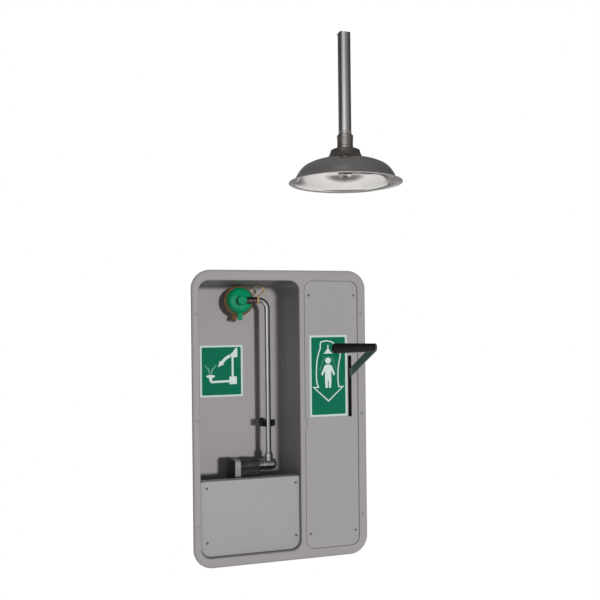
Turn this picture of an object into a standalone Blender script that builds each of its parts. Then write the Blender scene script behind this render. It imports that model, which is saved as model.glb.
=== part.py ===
"""Recessed laboratory safety station: a swing-down eyewash and a pull-down drench shower.

Metres, +Z up. X runs across the wall and +Y runs into it; Y = 0 is the wall's surface.
The origin is on the back of the cabinet's flange, in the middle of its bottom strip.
Heights of the cabinet's parts are given by top(d): d metres above the cabinet's top edge.
"""
import math

import bmesh
import bpy
from mathutils import Matrix, Vector

GAP = 0.0003                      # clearance between neighbouring pieces

# cabinet
CABINET_W = 0.610
CABINET_H = 0.990
BOTTOM_STRIP = 0.029              # flange below the tubs
CABINET_TOP = CABINET_H - BOTTOM_STRIP / 2
CORNER_R = 0.064
FLANGE_T = 0.012
FLANGE_ROUND = (0.013, 0.009)     # width and height of its rounded outer edge
WALL = 0.004
LIP_ROUND = 0.005
SEAT_ROUND = 0.0035
RECESS_X = (-0.280, 0.063)
RECESS_Z = (-0.957, -0.036)
RECESS_R = 0.034
RECESS_DEPTH = 0.200
BACK_FILLET = (0.018, 0.045, 0.024)  # left, right, top and bottom
DRAFT_X = 0.070
DRAFT_Z = 0.040
CHAMBER_X = (0.0815, 0.2740)
CHAMBER_Z = (-0.9565, -0.0365)
CHAMBER_R = 0.030
CHAMBER_DEPTH = 0.118
SEAT_DEPTH = 0.006
SEAT_LEDGE = 0.012

# covers, signs and their screws
PANEL_T = 0.0029
PANEL_MARGIN = 0.001
PANEL_SCREWS_X = (0.097, 0.2605)
PANEL_SCREWS_Z = (-0.086, -0.905)
NOTCH_Z = (-0.547, -0.506)
NOTCH_DEPTH = 0.006
SLOT_W = 0.013
SLOT_Z = (-0.5085, -0.2955)
COVER_BACK = 0.008
COVER_MARGIN = 0.002
COVER_TOP = -0.7050
COVER_T = 0.002
COVER_RETURN = 0.030
COVER_FOLD_INSET = 0.0035
COVER_SCREWS_X = (-0.2577, 0.0482)
COVER_SCREWS_Z = (-0.728, -0.909)
FLANGE_SCREWS_X = 0.287
FLANGE_SCREWS_Z = (-0.149, -0.499, -0.848)
SIGN_T = 0.0012
EYEWASH_SIGN_X = (-0.2488, -0.0925)
EYEWASH_SIGN_Z = (-0.444, -0.258)
SHOWER_SIGN_X = (0.098, 0.2345)
SHOWER_SIGN_Z = (-0.5045, -0.2235)
SHELF_Z = -0.741
SHELF_T = 0.002
SHELF_FRONT_GAP = 0.0035

# eyewash valve and arm
PIVOT_Y = 0.100
PIVOT_Z = -0.677
VALVE_X = (-0.1277, -0.0593)
VALVE_FLANGE_X = (-0.1487, -0.1280)
END_CAP_X = (-0.1690, -0.1490)
VALVE_FOOT_Z = -0.7165
VALVE_BARREL_R = 0.022
PLUG_R = 0.012
TEE_R = 0.0205
TEE_END_X = 0.005
ARM_X = -0.0232
ARM_R = 0.0097
ARM_BORE = 0.0077
ARM_BEND = 0.030
HEAD_X = -0.114
HEAD_Z = -0.0985
HEAD_R = 0.0515
HEAD_MOUTH_Y = 0.146
CLIP_Z = -0.534

# pipework
PIPE_R = 0.0167                   # 1 inch iron pipe size
PIPE_BORE = 0.0133
FITTING_R = 0.0215
NIPPLE_R = 0.01065                # 1/2 inch iron pipe size
NIPPLE_BORE = 0.0079
SMALL_FITTING_R = 0.0155
RISER_X = 0.195
RISER_Y = 0.030
TEE_Z = -0.860
INLET_END_Z = -0.995
OVERHEAD_Z = 0.634
ELBOW_LEG = 0.045
ELBOW_BEND = 0.030

# shower valve and lever
SHOWER_PIVOT_Z = -0.373
LEVER_X = 0.2445
LEVER_T = 0.006
LEVER_W = 0.027
STEM_R = 0.005
BALL_R = 0.016
GRIP_Y = -0.247
GRIP_Z = -0.2605
GRIP_X = (0.102, 0.241)
GRIP_R = (0.0162, 0.0132)
GRIP_ROD_R = 0.005

# shower head
SHOWER_X = 0.020
SHOWER_Y = -0.616
SHOWER_RIM = 0.184
SHEET_T = 0.0016

PLASTIC = ((0.33, 0.32, 0.32), 0.45, 0.0)
BRUSHED = ((0.60, 0.61, 0.62), 0.35, 1.0)
STAINLESS = ((0.62, 0.61, 0.60), 0.20, 1.0)
CHROME = ((0.75, 0.75, 0.76), 0.10, 1.0)
GALVANISED = ((0.45, 0.45, 0.44), 0.45, 1.0)
CASTING = ((0.10, 0.11, 0.10), 0.40, 0.8)
GREEN = ((0.0, 0.24, 0.10), 0.40, 0.0)
SIGN_GREEN = ((0.0, 0.16, 0.09), 0.50, 0.0)
AMBER = ((0.30, 0.17, 0.05), 0.35, 0.0)
BLACK = ((0.006, 0.005, 0.005), 0.50, 0.0)
LEVER_GREY = ((0.055, 0.075, 0.075), 0.35, 0.8)
SCREW_STEEL = ((0.40, 0.40, 0.40), 0.30, 1.0)
BRASS = ((0.55, 0.40, 0.15), 0.30, 1.0)


def top(d):
    return CABINET_TOP + d


def clear_scene():
    for ob in list(bpy.data.objects):
        bpy.data.objects.remove(ob, do_unlink=True)


# --- building blocks ---------------------------------------------------------------------------

def node(name, bm, look, sharp=35.0):
    """Turn a closed bmesh into a named object with its own material."""
    bmesh.ops.recalc_face_normals(bm, faces=bm.faces)
    mesh = bpy.data.meshes.new(name)
    bm.to_mesh(mesh)
    bm.free()
    mesh.shade_smooth()
    mesh.set_sharp_from_angle(angle=math.radians(sharp))
    colour, roughness, metallic = look
    mat = bpy.data.materials.new(name)
    mat.use_nodes = True
    shader = mat.node_tree.nodes["Principled BSDF"]
    shader.inputs["Base Color"].default_value = (*colour, 1.0)
    shader.inputs["Roughness"].default_value = roughness
    shader.inputs["Metallic"].default_value = metallic
    mesh.materials.append(mat)
    ob = bpy.data.objects.new(name, mesh)
    bpy.context.collection.objects.link(ob)
    return ob


def tool(name, bm):
    """A solid that only cuts or joins another one."""
    ob = node(name, bm, PLASTIC)
    ob.hide_render = True
    ob.display_type = "WIRE"
    return ob


def boolean(target, other, operation):
    mod = target.modifiers.new(other.name, "BOOLEAN")
    mod.operation = operation
    mod.solver = "EXACT"
    mod.object = other


def cut(target, bm, name):
    boolean(target, tool(name, bm), "DIFFERENCE")


def join(target, bm, name):
    boolean(target, tool(name, bm), "UNION")


def loft(rings, closed=False):
    """Skin a list of rings of points; the two ends are capped, or joined when closed."""
    bm = bmesh.new()
    loops = [[bm.verts.new(p) for p in ring] for ring in rings]
    pairs = list(zip(loops, loops[1:]))
    if closed:
        pairs.append((loops[-1], loops[0]))
    for a, b in pairs:
        for i in range(len(a)):
            j = (i + 1) % len(a)
            bm.faces.new((a[i], a[j], b[j], b[i]))
    if not closed:
        bm.faces.new(loops[0])
        bm.faces.new(loops[-1])
    return bm


def circle(centre, axis, radius, segs, phase=0.0):
    axis = Vector(axis).normalized()
    side = axis.orthogonal().normalized()
    up = axis.cross(side)
    turns = [2 * math.pi * (i + phase) / segs for i in range(segs)]
    return [Vector(centre) + radius * (math.cos(t) * side + math.sin(t) * up) for t in turns]


def revolve(origin, axis, profile, segs=24, closed=False, phase=0.0):
    """Turn (radius, distance along the axis) points about the axis."""
    axis = Vector(axis).normalized()
    rings = [circle(Vector(origin) + axis * h, axis, r, segs, phase) for r, h in profile]
    return loft(rings, closed)


def rod(start, end, radius, segs=16):
    start, end = Vector(start), Vector(end)
    return revolve(start, end - start, [(radius, 0.0), (radius, (end - start).length)], segs)


def sleeve(start, end, radius, bore, segs=16):
    start, end = Vector(start), Vector(end)
    length = (end - start).length
    profile = [(radius, 0.0), (radius, length), (bore, length), (bore, 0.0)]
    return revolve(start, end - start, profile, segs, closed=True)


def bent_path(corners, bend, steps=6):
    """A line through the corners, each inner corner rounded to the bend radius."""
    pts = [Vector(corners[0])]
    for a, b, c in zip(corners, corners[1:], corners[2:]):
        a, b, c = Vector(a), Vector(b), Vector(c)
        into, out = (b - a).normalized(), (c - b).normalized()
        turn = into.angle(out)
        reach = bend * math.tan(turn / 2)
        axis = into.cross(out).normalized()
        begin = b - into * reach
        centre = begin + axis.cross(into) * bend
        for k in range(steps + 1):
            pts.append(centre + Matrix.Rotation(turn * k / steps, 3, axis) @ (begin - centre))
    pts.append(Vector(corners[-1]))
    return pts


def path_frames(path):
    """Tangent and a steady side direction at each point of a path."""
    tangents = []
    for i in range(len(path)):
        a, b = path[max(i - 1, 0)], path[min(i + 1, len(path) - 1)]
        tangents.append((b - a).normalized())
    side = tangents[0].orthogonal().normalized()
    frames = []
    for t in tangents:
        side = (side - t * side.dot(t)).normalized()
        frames.append((t, side))
    return frames


def sweep(path, radius, bore=None, segs=16):
    """A round bar or, with a bore, a pipe along a path."""
    def ring(p, frame, r):
        t, side = frame
        up = t.cross(side)
        angles = [2 * math.pi * i / segs for i in range(segs)]
        return [p + r * (math.cos(a) * side + math.sin(a) * up) for a in angles]

    frames = path_frames(path)
    outer = [ring(p, f, radius) for p, f in zip(path, frames)]
    if bore is None:
        return loft(outer)
    inner = [ring(p, f, bore) for p, f in zip(path, frames)]
    return loft(outer + inner[::-1], closed=True)


def box(x, y, z):
    bm = bmesh.new()
    size = (x[1] - x[0], y[1] - y[0], z[1] - z[0])
    centre = ((x[0] + x[1]) / 2, (y[0] + y[1]) / 2, (z[0] + z[1]) / 2)
    place = Matrix.Translation(centre) @ Matrix.Diagonal((*size, 1.0))
    bmesh.ops.create_cube(bm, size=1.0, matrix=place)
    return bm


def rounded_rect(x, z, radius, steps=5):
    """Corner points of a rounded rectangle, as (x, z) pairs."""
    pts = []
    centres = ((x[1] - radius, z[1] - radius), (x[0] + radius, z[1] - radius),
               (x[0] + radius, z[0] + radius), (x[1] - radius, z[0] + radius))
    for quarter, (cx, cz) in enumerate(centres):
        for k in range(steps + 1):
            a = math.pi / 2 * (quarter + k / steps)
            pts.append((cx + radius * math.cos(a), cz + radius * math.sin(a)))
    return pts


def rect_ring(x, z, radius, y, inset_x=0.0, inset_z=0.0, steps=5, inset_right=None):
    """A rounded rectangle in the plane Y = y, shrunk by the insets."""
    right = inset_x if inset_right is None else inset_right
    xs = (x[0] + inset_x, x[1] - right)
    zs = (z[0] + inset_z, z[1] - inset_z)
    corner = max(radius - max(inset_x, inset_z), 0.003)
    return [Vector((px, y, pz)) for px, pz in rounded_rect(xs, zs, corner, steps)]


def plate(x, z, radius, y, edge=0.0, steps=5):
    """A flat rounded plate between y[0] (front) and y[1], its front edge eased by edge."""
    rings = [rect_ring(x, z, radius, y[1], steps=steps)]
    if edge:
        rings.append(rect_ring(x, z, radius, y[0] + edge, steps=steps))
    rings.append(rect_ring(x, z, radius, y[0], edge, edge, steps=steps))
    return loft(rings)


def bore_round(radius, segs=16):
    """Radius of a faceted bore whose flats still clear a shaft of the given radius."""
    return (radius + GAP) / math.cos(math.pi / segs)


def from_top(pair):
    return (top(pair[0]), top(pair[1]))


# --- cabinet -----------------------------------------------------------------------------------

def flange_solid():
    x, z = (-CABINET_W / 2, CABINET_W / 2), (top(-CABINET_H), top(0.0))
    rings = [rect_ring(x, z, CORNER_R, 0.0, steps=8)]
    wide, high = FLANGE_ROUND
    for k in range(5):
        a = math.pi / 2 * k / 4
        inset = wide * (1 - math.cos(a))
        rings.append(rect_ring(x, z, CORNER_R, high - FLANGE_T - high * math.sin(a), inset, inset, steps=8))
    return loft(rings)


def fillet_inset(y, depth, fillet):
    """How far a wall has turned inwards at y, on its way round the fillet to the back at depth."""
    climbed = max(y - (depth - fillet), 0.0)
    return fillet - math.sqrt(max(fillet ** 2 - climbed ** 2, 0.0))


def tub_sections(depth, extra=0.0):
    """(y, inset on the left, on the right, at top and bottom) down a drafted, filleted tub."""
    fillets = [f + extra for f in BACK_FILLET]
    stations = [0.0, 0.008] + [depth - max(fillets) * f for f in (1.0, 0.72, 0.5, 0.32, 0.18, 0.08, 0.02, 0.0)]
    sections = []
    for y in stations:
        draft = min(y, depth - max(fillets))
        left, right, high = [fillet_inset(y, depth, f) for f in fillets]
        sections.append((y, DRAFT_X * draft + left, DRAFT_X * draft + right, DRAFT_Z * draft + high))
    return sections


def tub_ring(x, z, radius, section):
    y, left, right, high = section
    return rect_ring(x, z, radius, y, left, high, inset_right=right)


def lip_rings(x, z, radius, size):
    """Rings down the rounded edge where a cavity opens through the flange's face."""
    rings = [rect_ring(x, z, radius, -FLANGE_T - 0.002, -size, -size)]
    for k in range(4):
        a = math.pi / 2 * k / 3
        inset = -size * (1 - math.sin(a))
        rings.append(rect_ring(x, z, radius, -FLANGE_T + size * (1 - math.cos(a)), inset, inset))
    return rings


def recess_cavity():
    x, z = RECESS_X, from_top(RECESS_Z)
    rings = lip_rings(x, z, RECESS_R, LIP_ROUND)
    rings += [tub_ring(x, z, RECESS_R, section) for section in tub_sections(RECESS_DEPTH)]
    return loft(rings)


def recess_tub():
    x = (RECESS_X[0] - WALL, RECESS_X[1] + WALL)
    z = (top(RECESS_Z[0]) - WALL, top(RECESS_Z[1]) + WALL)
    rings = [rect_ring(x, z, RECESS_R + WALL, -0.001)]
    rings += [tub_ring(x, z, RECESS_R + WALL, section) for section in tub_sections(RECESS_DEPTH + WALL, WALL)]
    return loft(rings)


def chamber_cavity():
    x, z = CHAMBER_X, from_top(CHAMBER_Z)
    seat_y = -FLANGE_T + SEAT_DEPTH
    inner = SEAT_LEDGE
    rings = lip_rings(x, z, CHAMBER_R, SEAT_ROUND)
    rings += [rect_ring(x, z, CHAMBER_R, seat_y),
              rect_ring(x, z, CHAMBER_R, seat_y, inner, inner),
              rect_ring(x, z, CHAMBER_R, CHAMBER_DEPTH, inner, inner)]
    return loft(rings)


def chamber_tub():
    inner = SEAT_LEDGE - WALL
    x, z = CHAMBER_X, from_top(CHAMBER_Z)
    return loft([rect_ring(x, z, CHAMBER_R, -0.001, inner, inner),
                 rect_ring(x, z, CHAMBER_R, CHAMBER_DEPTH + WALL, inner, inner)])


def y_hole(x, z, radius, y0, y1, segs=12):
    return rod((x, y0, z), (x, y1, z), radius, segs)


def crossover_line():
    """Start and end of the branch pipe's axis, from the eyewash nipple to the supply tee."""
    return (Vector((nipple_x(), PIVOT_Y, top(TEE_Z))), Vector((RISER_X, RISER_Y, top(TEE_Z))))


def nipple_x():
    return (VALVE_X[0] + VALVE_X[1]) / 2


def make_cabinet_shell():
    shell = node("cabinet_shell", flange_solid(), PLASTIC)
    join(shell, recess_tub(), "tool_recess_tub")
    join(shell, chamber_tub(), "tool_chamber_tub")
    cut(shell, recess_cavity(), "tool_recess_cavity")
    cut(shell, chamber_cavity(), "tool_chamber_cavity")
    lug_y = (COVER_BACK + GAP, COVER_BACK + GAP + 0.004)
    for i, x in enumerate(COVER_SCREWS_X):
        wall_x = RECESS_X[i] - 0.003 if i == 0 else RECESS_X[i] + 0.003
        tip = x + 0.011 if i == 0 else x - 0.011
        for k, z in enumerate(COVER_SCREWS_Z):
            lug = box((min(wall_x, tip), max(wall_x, tip)), lug_y, (top(z) - 0.012, top(z) + 0.012))
            join(shell, lug, f"tool_lug_{i}{k}")
            cut(shell, y_hole(x, top(z), 0.0026, -0.02, 0.03), f"tool_lug_hole_{i}{k}")
    for i, x in enumerate(PANEL_SCREWS_X):
        for k, z in enumerate(PANEL_SCREWS_Z):
            cut(shell, box_boss_hole(x, z), f"tool_seat_hole_{i}{k}")
    for side in (-1, 1):
        for k, z in enumerate(FLANGE_SCREWS_Z):
            hole = y_hole(side * FLANGE_SCREWS_X, top(z), 0.0026, -0.02, 0.02)
            cut(shell, hole, f"tool_flange_hole_{side}{k}")
    riser = rod((RISER_X, RISER_Y, top(-1.1)), (RISER_X, RISER_Y, top(0.1)), PIPE_R + 0.002, 20)
    cut(shell, riser, "tool_riser_holes")
    start, end = crossover_line()
    run = (end - start).normalized()
    cut(shell, rod(start + run * 0.08, end - run * 0.03, NIPPLE_R + 0.003, 16), "tool_branch_hole")
    return shell


def box_boss_hole(x, z):
    return y_hole(x, top(z), 0.0026, -0.008, 0.02)


def panel_faces():
    back = -FLANGE_T + SEAT_DEPTH - GAP
    return (back - PANEL_T, back)


def make_shower_access_panel():
    m = PANEL_MARGIN
    x = (CHAMBER_X[0] + m, CHAMBER_X[1] - m)
    z = (top(CHAMBER_Z[0]) + m, top(CHAMBER_Z[1]) - m)
    panel = node("shower_access_panel", plate(x, z, CHAMBER_R - m, panel_faces(), 0.0008), PLASTIC)
    y = (-0.03, 0.02)
    cut(panel, plate((LEVER_X - SLOT_W / 2, LEVER_X + SLOT_W / 2), from_top(SLOT_Z), 0.004, y),
        "tool_lever_slot")
    notch_x = (x[0] - 0.01, x[0] + NOTCH_DEPTH)
    cut(panel, plate(notch_x, from_top(NOTCH_Z), 0.004, y), "tool_finger_notch")
    for i, sx in enumerate(PANEL_SCREWS_X):
        for k, sz in enumerate(PANEL_SCREWS_Z):
            cut(panel, y_hole(sx, top(sz), 0.0026, *y), f"tool_panel_hole_{i}{k}")
    return panel


def make_valve_access_cover():
    m = COVER_MARGIN
    back = COVER_BACK
    x = (RECESS_X[0] + m, RECESS_X[1] - m)
    z = (top(RECESS_Z[0]) + m, top(RECESS_Z[0]) + 0.5)
    cover = node("valve_access_cover", plate(x, z, RECESS_R - m, (back - COVER_T, back)), BRUSHED)
    cut(cover, box((-0.4, 0.4), (-0.1, 0.1), (top(COVER_TOP), top(0.0))), "tool_cover_top")
    inset = COVER_FOLD_INSET
    fold = box((x[0] + inset, x[1] - inset), (back - 0.001, back + COVER_RETURN),
               (top(COVER_TOP) - COVER_T, top(COVER_TOP)))
    join(cover, fold, "tool_cover_fold")
    for i, sx in enumerate(COVER_SCREWS_X):
        for k, sz in enumerate(COVER_SCREWS_Z):
            cut(cover, y_hole(sx, top(sz), 0.0026, -0.03, 0.03), f"tool_cover_hole_{i}{k}")
    return cover


def pan_screw(x, y, z, head_r, head_t, length):
    """A pan-head screw driven along +Y; y is the face that its head sits on."""
    seat = y - GAP
    profile = [(0.0020, y + length), (0.0020, seat), (head_r, seat), (head_r, seat - head_t * 0.45),
               (head_r * 0.70, seat - head_t)]
    return revolve((x, 0.0, z), (0, 1, 0), profile, 10)


def make_screws():
    spots = [("panel_screw", PANEL_SCREWS_X, PANEL_SCREWS_Z, panel_faces()[0]),
             ("cover_screw", COVER_SCREWS_X, COVER_SCREWS_Z, COVER_BACK - COVER_T)]
    for name, xs, zs, y in spots:
        number = 0
        for x in xs:
            for z in zs:
                number += 1
                node(f"{name}_{number}", pan_screw(x, y, top(z), 0.0042, 0.0024, 0.014), SCREW_STEEL)
    number = 0
    for side in (-1, 1):
        for z in FLANGE_SCREWS_Z:
            number += 1
            screw = pan_screw(side * FLANGE_SCREWS_X, -FLANGE_T, top(z), 0.0045, 0.0030, 0.036)
            node(f"flange_screw_{number}", screw, PLASTIC)


def make_signs():
    back = RECESS_DEPTH - GAP
    node("eyewash_sign", plate(EYEWASH_SIGN_X, from_top(EYEWASH_SIGN_Z), 0.003,
                               (back - SIGN_T, back), steps=3), SIGN_GREEN)
    back = panel_faces()[0] - GAP
    node("shower_sign", plate(SHOWER_SIGN_X, from_top(SHOWER_SIGN_Z), 0.003,
                              (back - SIGN_T, back), steps=3), SIGN_GREEN)


def make_valve_shelf():
    """Tray floor under the eyewash valve, shaped to the drafted tub."""
    clear = 0.001
    front = COVER_BACK + SHELF_FRONT_GAP
    sections = [(front, DRAFT_X * front, DRAFT_X * front)] + [s[:3] for s in tub_sections(RECESS_DEPTH)[2:6]]
    right = [(RECESS_X[1] - inset - clear, y) for y, _, inset in sections]
    left = [(RECESS_X[0] + inset + clear, y) for y, inset, _ in sections]
    outline = right + left[::-1]
    z1 = top(SHELF_Z) + SHELF_T / 2
    rings = [[Vector((x, y, z)) for x, y in outline] for z in (z1 - SHELF_T, z1)]
    shelf = node("valve_shelf", loft(rings), PLASTIC)
    lip = box((RECESS_X[0] + 0.004, RECESS_X[1] - 0.004), (front, front + SHELF_T), (z1 - 0.014, z1 - 0.001))
    join(shelf, lip, "tool_shelf_lip")
    hole = rod((nipple_x(), PIVOT_Y, top(-0.8)), (nipple_x(), PIVOT_Y, top(-0.7)), NIPPLE_R + 0.002)
    cut(shelf, hole, "tool_shelf_hole")
    return shelf


# --- eyewash -----------------------------------------------------------------------------------

def make_eyewash_valve():
    z = top(PIVOT_Z)
    foot = top(VALVE_FOOT_Z)
    x0, x1 = VALVE_X
    barrel = [(VALVE_BARREL_R, 0.0), (VALVE_BARREL_R, x1 - x0 - 0.002), (VALVE_BARREL_R - 0.002, x1 - x0)]
    body = node("eyewash_valve_body", revolve((x0, PIVOT_Y, z), (1, 0, 0), barrel, 24), CASTING)
    base = box((x0 + 0.001, x1 - 0.001), (PIVOT_Y - 0.021, PIVOT_Y + 0.021), (foot, z - 0.012))
    join(body, base, "tool_valve_base")
    plug_end = x0 + 0.018
    cut(body, rod((plug_end, PIVOT_Y, z), (x1 + 0.01, PIVOT_Y, z), bore_round(PLUG_R, 24), 24), "tool_plug_bore")
    cut(body, rod((nipple_x(), PIVOT_Y, foot - 0.01), (nipple_x(), PIVOT_Y, foot + 0.016),
                  bore_round(NIPPLE_R)), "tool_nipple_socket")
    zs = (foot, z + 0.022)
    ys = (PIVOT_Y - 0.028, PIVOT_Y + 0.028)
    for name, xs, look in (("valve_flange", VALVE_FLANGE_X, GALVANISED),
                           ("valve_end_cap", END_CAP_X, BLACK)):
        rings = []
        for x, inset in ((xs[0], 0.0015), (xs[0] + 0.0015, 0.0), (xs[1] - 0.0015, 0.0), (xs[1], 0.0015)):
            corners = rounded_rect((ys[0] + inset, ys[1] - inset), (zs[0] + inset, zs[1] - inset), 0.008, 4)
            rings.append([Vector((x, py, pz)) for py, pz in corners])
        node(name, loft(rings), look)


def make_swivel_tee():
    """Chrome tee that turns on the valve and carries the arm."""
    z = top(PIVOT_Z)
    x0, x1 = VALVE_X[1] + GAP, TEE_END_X
    length = x1 - x0
    profile = [(TEE_R - 0.0015, 0.0), (TEE_R, 0.0015), (TEE_R, length - 0.014)]
    for k in range(1, 5):
        a = math.pi / 2 * k / 4.4
        profile.append((TEE_R * math.cos(a), length - 0.014 + 0.014 * math.sin(a)))
    tee = node("swivel_tee", revolve((x0, PIVOT_Y, z), (1, 0, 0), profile, 24), CHROME)
    join(tee, rod((ARM_X, PIVOT_Y, z), (ARM_X, PIVOT_Y, z + 0.037), 0.0152, 20), "tool_tee_branch")
    cut(tee, rod((ARM_X, PIVOT_Y, z + 0.020), (ARM_X, PIVOT_Y, z + 0.05), bore_round(ARM_R)), "tool_tee_socket")
    plug_x = (VALVE_X[0] + 0.0185, x0 - GAP)
    node("valve_plug", rod((plug_x[0], PIVOT_Y, z), (plug_x[1], PIVOT_Y, z), PLUG_R, 24), BRASS)


def make_arm():
    z = top(HEAD_Z)
    corners = [(ARM_X, PIVOT_Y, top(PIVOT_Z) + 0.0205), (ARM_X, PIVOT_Y, z), (HEAD_X + 0.007, PIVOT_Y, z)]
    node("arm_pipe", sweep(bent_path(corners, ARM_BEND), ARM_R, ARM_BORE, 16), CHROME)
    start, end = HEAD_X + 0.0165, HEAD_X + 0.053
    node("arm_coupling", sleeve((start, PIVOT_Y, z), (end, PIVOT_Y, z), 0.0120, bore_round(ARM_R), 16), CHROME)


def head_profile():
    """Outside of the head, as (radius, y), from the boss to the mouth."""
    return [(0.0160, 0.1125), (0.0240, 0.1145), (0.0350, 0.1180), (0.0440, 0.1235),
            (0.0495, 0.1305), (HEAD_R, 0.1380), (HEAD_R, HEAD_MOUTH_Y)]


def make_eyewash_head():
    z = top(HEAD_Z)
    shell_t = 0.0025
    boss = [(0.0130, 0.0860), (0.0160, 0.0885)]
    outer = boss + head_profile()
    inner = [(r - shell_t, y + (0.0 if y >= HEAD_MOUTH_Y else shell_t * 0.8))
             for r, y in head_profile()[::-1]]
    inner[-1] = (0.0080, inner[-1][1] + 0.0010)
    bore = [(0.0070, inner[-1][1] - 0.002), (0.0070, 0.0960), (0.0030, 0.0940)]
    head = node("head_shell", revolve((HEAD_X, 0, z), (0, 1, 0), outer + inner + bore, 24), GREEN)
    tab = box((HEAD_X - 0.0085, HEAD_X + 0.0085), (0.1290, 0.1385), (z - 0.070, z - 0.047))
    join(head, tab, "tool_head_tab")
    cut(head, rod((HEAD_X + 0.0065, PIVOT_Y, z), (HEAD_X + 0.03, PIVOT_Y, z), bore_round(ARM_R)), "tool_head_socket")
    disc = [(0.0180, 0.0), (0.0480, 0.0), (0.0480, 0.0025), (0.0180, 0.0025)]
    outlet = node("outlet_plate", revolve((HEAD_X, 0.1385, z), (0, 1, 0), disc, 24, closed=True), GREEN)
    for k in range(6):
        a = 2 * math.pi * k / 6
        spot = (HEAD_X + 0.033 * math.cos(a), z + 0.033 * math.sin(a))
        cut(outlet, y_hole(spot[0], spot[1], 0.0035, 0.12, 0.16, 8), f"tool_outlet_{k}")
    ring = [(0.0040, 0.0), (0.0120, 0.0), (0.0120, 0.004), (0.0040, 0.004)]
    node("flow_regulator", revolve((HEAD_X, 0.1175, z), (0, 1, 0), ring, 20, closed=True), BLACK)


def make_dust_cover():
    z = top(HEAD_Z)
    r = HEAD_R + 0.0005
    cup = [(r + 0.0022, 0.1400), (r + 0.0022, 0.1475), (r - 0.0010, 0.1495), (0.0200, 0.1505),
           (0.0200, 0.1485), (r - 0.0025, 0.1472), (r, 0.1465), (r, 0.1400)]
    cover = node("dust_cover", revolve((HEAD_X, 0, z), (0, 1, 0), cup, 24, closed=True),
                 AMBER)
    join(cover, rod((HEAD_X, 0.1486, z), (HEAD_X, 0.1504, z), 0.0202, 24), "tool_cover_middle")
    turn = Matrix.Rotation(math.radians(17), 4, "Y")
    tab = box((-0.0085, 0.0085), (0.1415, 0.1440), (-0.071, -0.0525))
    bmesh.ops.transform(tab, matrix=Matrix.Translation((HEAD_X, 0, z)) @ turn, verts=tab.verts)
    join(cover, tab, "tool_cover_tab")
    return cover


def make_tether():
    """Strap from the dust cover's edge, over the arm's bend, to a ring on the pipe."""
    z = top(HEAD_Z)
    ring_x = -0.0602
    node("tether_ring", sleeve((ring_x, PIVOT_Y, z), (ring_x + 0.006, PIVOT_Y, z), 0.0125,
                               bore_round(ARM_R), 20), AMBER)
    edge = HEAD_R + 0.0062
    a = math.radians(32)
    route = [Vector((HEAD_X + edge * math.cos(a), 0.1440, z + edge * math.sin(a))),
             Vector((HEAD_X + 0.0555, 0.1400, z + 0.0455)),
             Vector((HEAD_X + 0.0680, 0.1300, z + 0.0515)),
             Vector((HEAD_X + 0.0820, 0.1200, z + 0.0455)),
             Vector((HEAD_X + 0.0800, 0.1090, z + 0.0310)),
             Vector((ring_x + 0.003, 0.1010, z + 0.0131))]
    rings = []
    for p, (t, _) in zip(route, path_frames(route)):
        across = t.cross(Vector((0, 0, 1)).cross(t)).normalized()
        wide = t.cross(across).normalized() * 0.0035
        thick = across * 0.0006
        rings.append([p + wide + thick, p - wide + thick, p - wide - thick, p + wide - thick])
    node("tether_strap", loft(rings), AMBER)


def make_clip():
    """Spring clip that holds the stowed arm, on a stand-off from the recess's back."""
    z = top(CLIP_Z)
    half_h = 0.0115
    back = PIVOT_Y + 0.0235
    bar = node("pipe_clip", box((ARM_X - 0.0285, ARM_X + 0.0285), (PIVOT_Y + 0.0120, back),
                                (z - half_h, z + half_h)), BLACK)
    for side in (-1, 1):
        x = sorted((ARM_X + side * (ARM_R + 0.0006), ARM_X + side * (ARM_R + 0.0050)))
        join(bar, box(x, (PIVOT_Y - 0.0060, PIVOT_Y + 0.0130), (z - half_h, z + half_h)),
             f"tool_clip_jaw_{side}")
    wall = RECESS_DEPTH - GAP
    post = [(0.0090, wall), (0.0090, wall - 0.004), (0.0060, wall - 0.007), (0.0060, back + GAP)]
    node("clip_bracket", revolve((ARM_X, 0, z), (0, 1, 0), post, 20), BLACK)


# --- pipework ----------------------------------------------------------------------------------

def elbow(name, corner, leg_a, leg_b, radius, bore, look):
    """Pipe elbow with sleeve ends, its legs pointing along two directions."""
    corner = Vector(corner)
    ends = [corner + Vector(leg_a) * ELBOW_LEG, corner, corner + Vector(leg_b) * ELBOW_LEG]
    return node(name, sweep(bent_path(ends, ELBOW_BEND, 4), radius, bore, 12), look)


def make_eyewash_supply():
    start, end = crossover_line()
    run = (end - start).normalized()
    up = Vector((0, 0, 1))
    bore = bore_round(NIPPLE_R)
    elbow("supply_elbow", start, up, run, SMALL_FITTING_R, bore_round(NIPPLE_R, 12), GALVANISED)
    inside = 0.034
    node("supply_nipple", sleeve(start + up * inside, Vector((start.x, start.y, top(VALVE_FOOT_Z) + 0.015)),
                                 NIPPLE_R, NIPPLE_BORE), GALVANISED)
    node("crossover_pipe", sleeve(start + run * inside, end - run * 0.0225, NIPPLE_R, NIPPLE_BORE),
         GALVANISED)
    low, high = end - up * 0.036, end + up * 0.036
    tee = node("supply_tee", rod(low, high, FITTING_R, 20), GALVANISED)
    join(tee, rod(end, end - run * 0.040, SMALL_FITTING_R + 0.001, 16), "tool_tee_outlet")
    cut(tee, rod(low - up * 0.01, high + up * 0.01, bore_round(PIPE_R), 20), "tool_tee_bore")
    cut(tee, rod(end, end - run * 0.06, bore, 16), "tool_tee_branch_bore")


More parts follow.
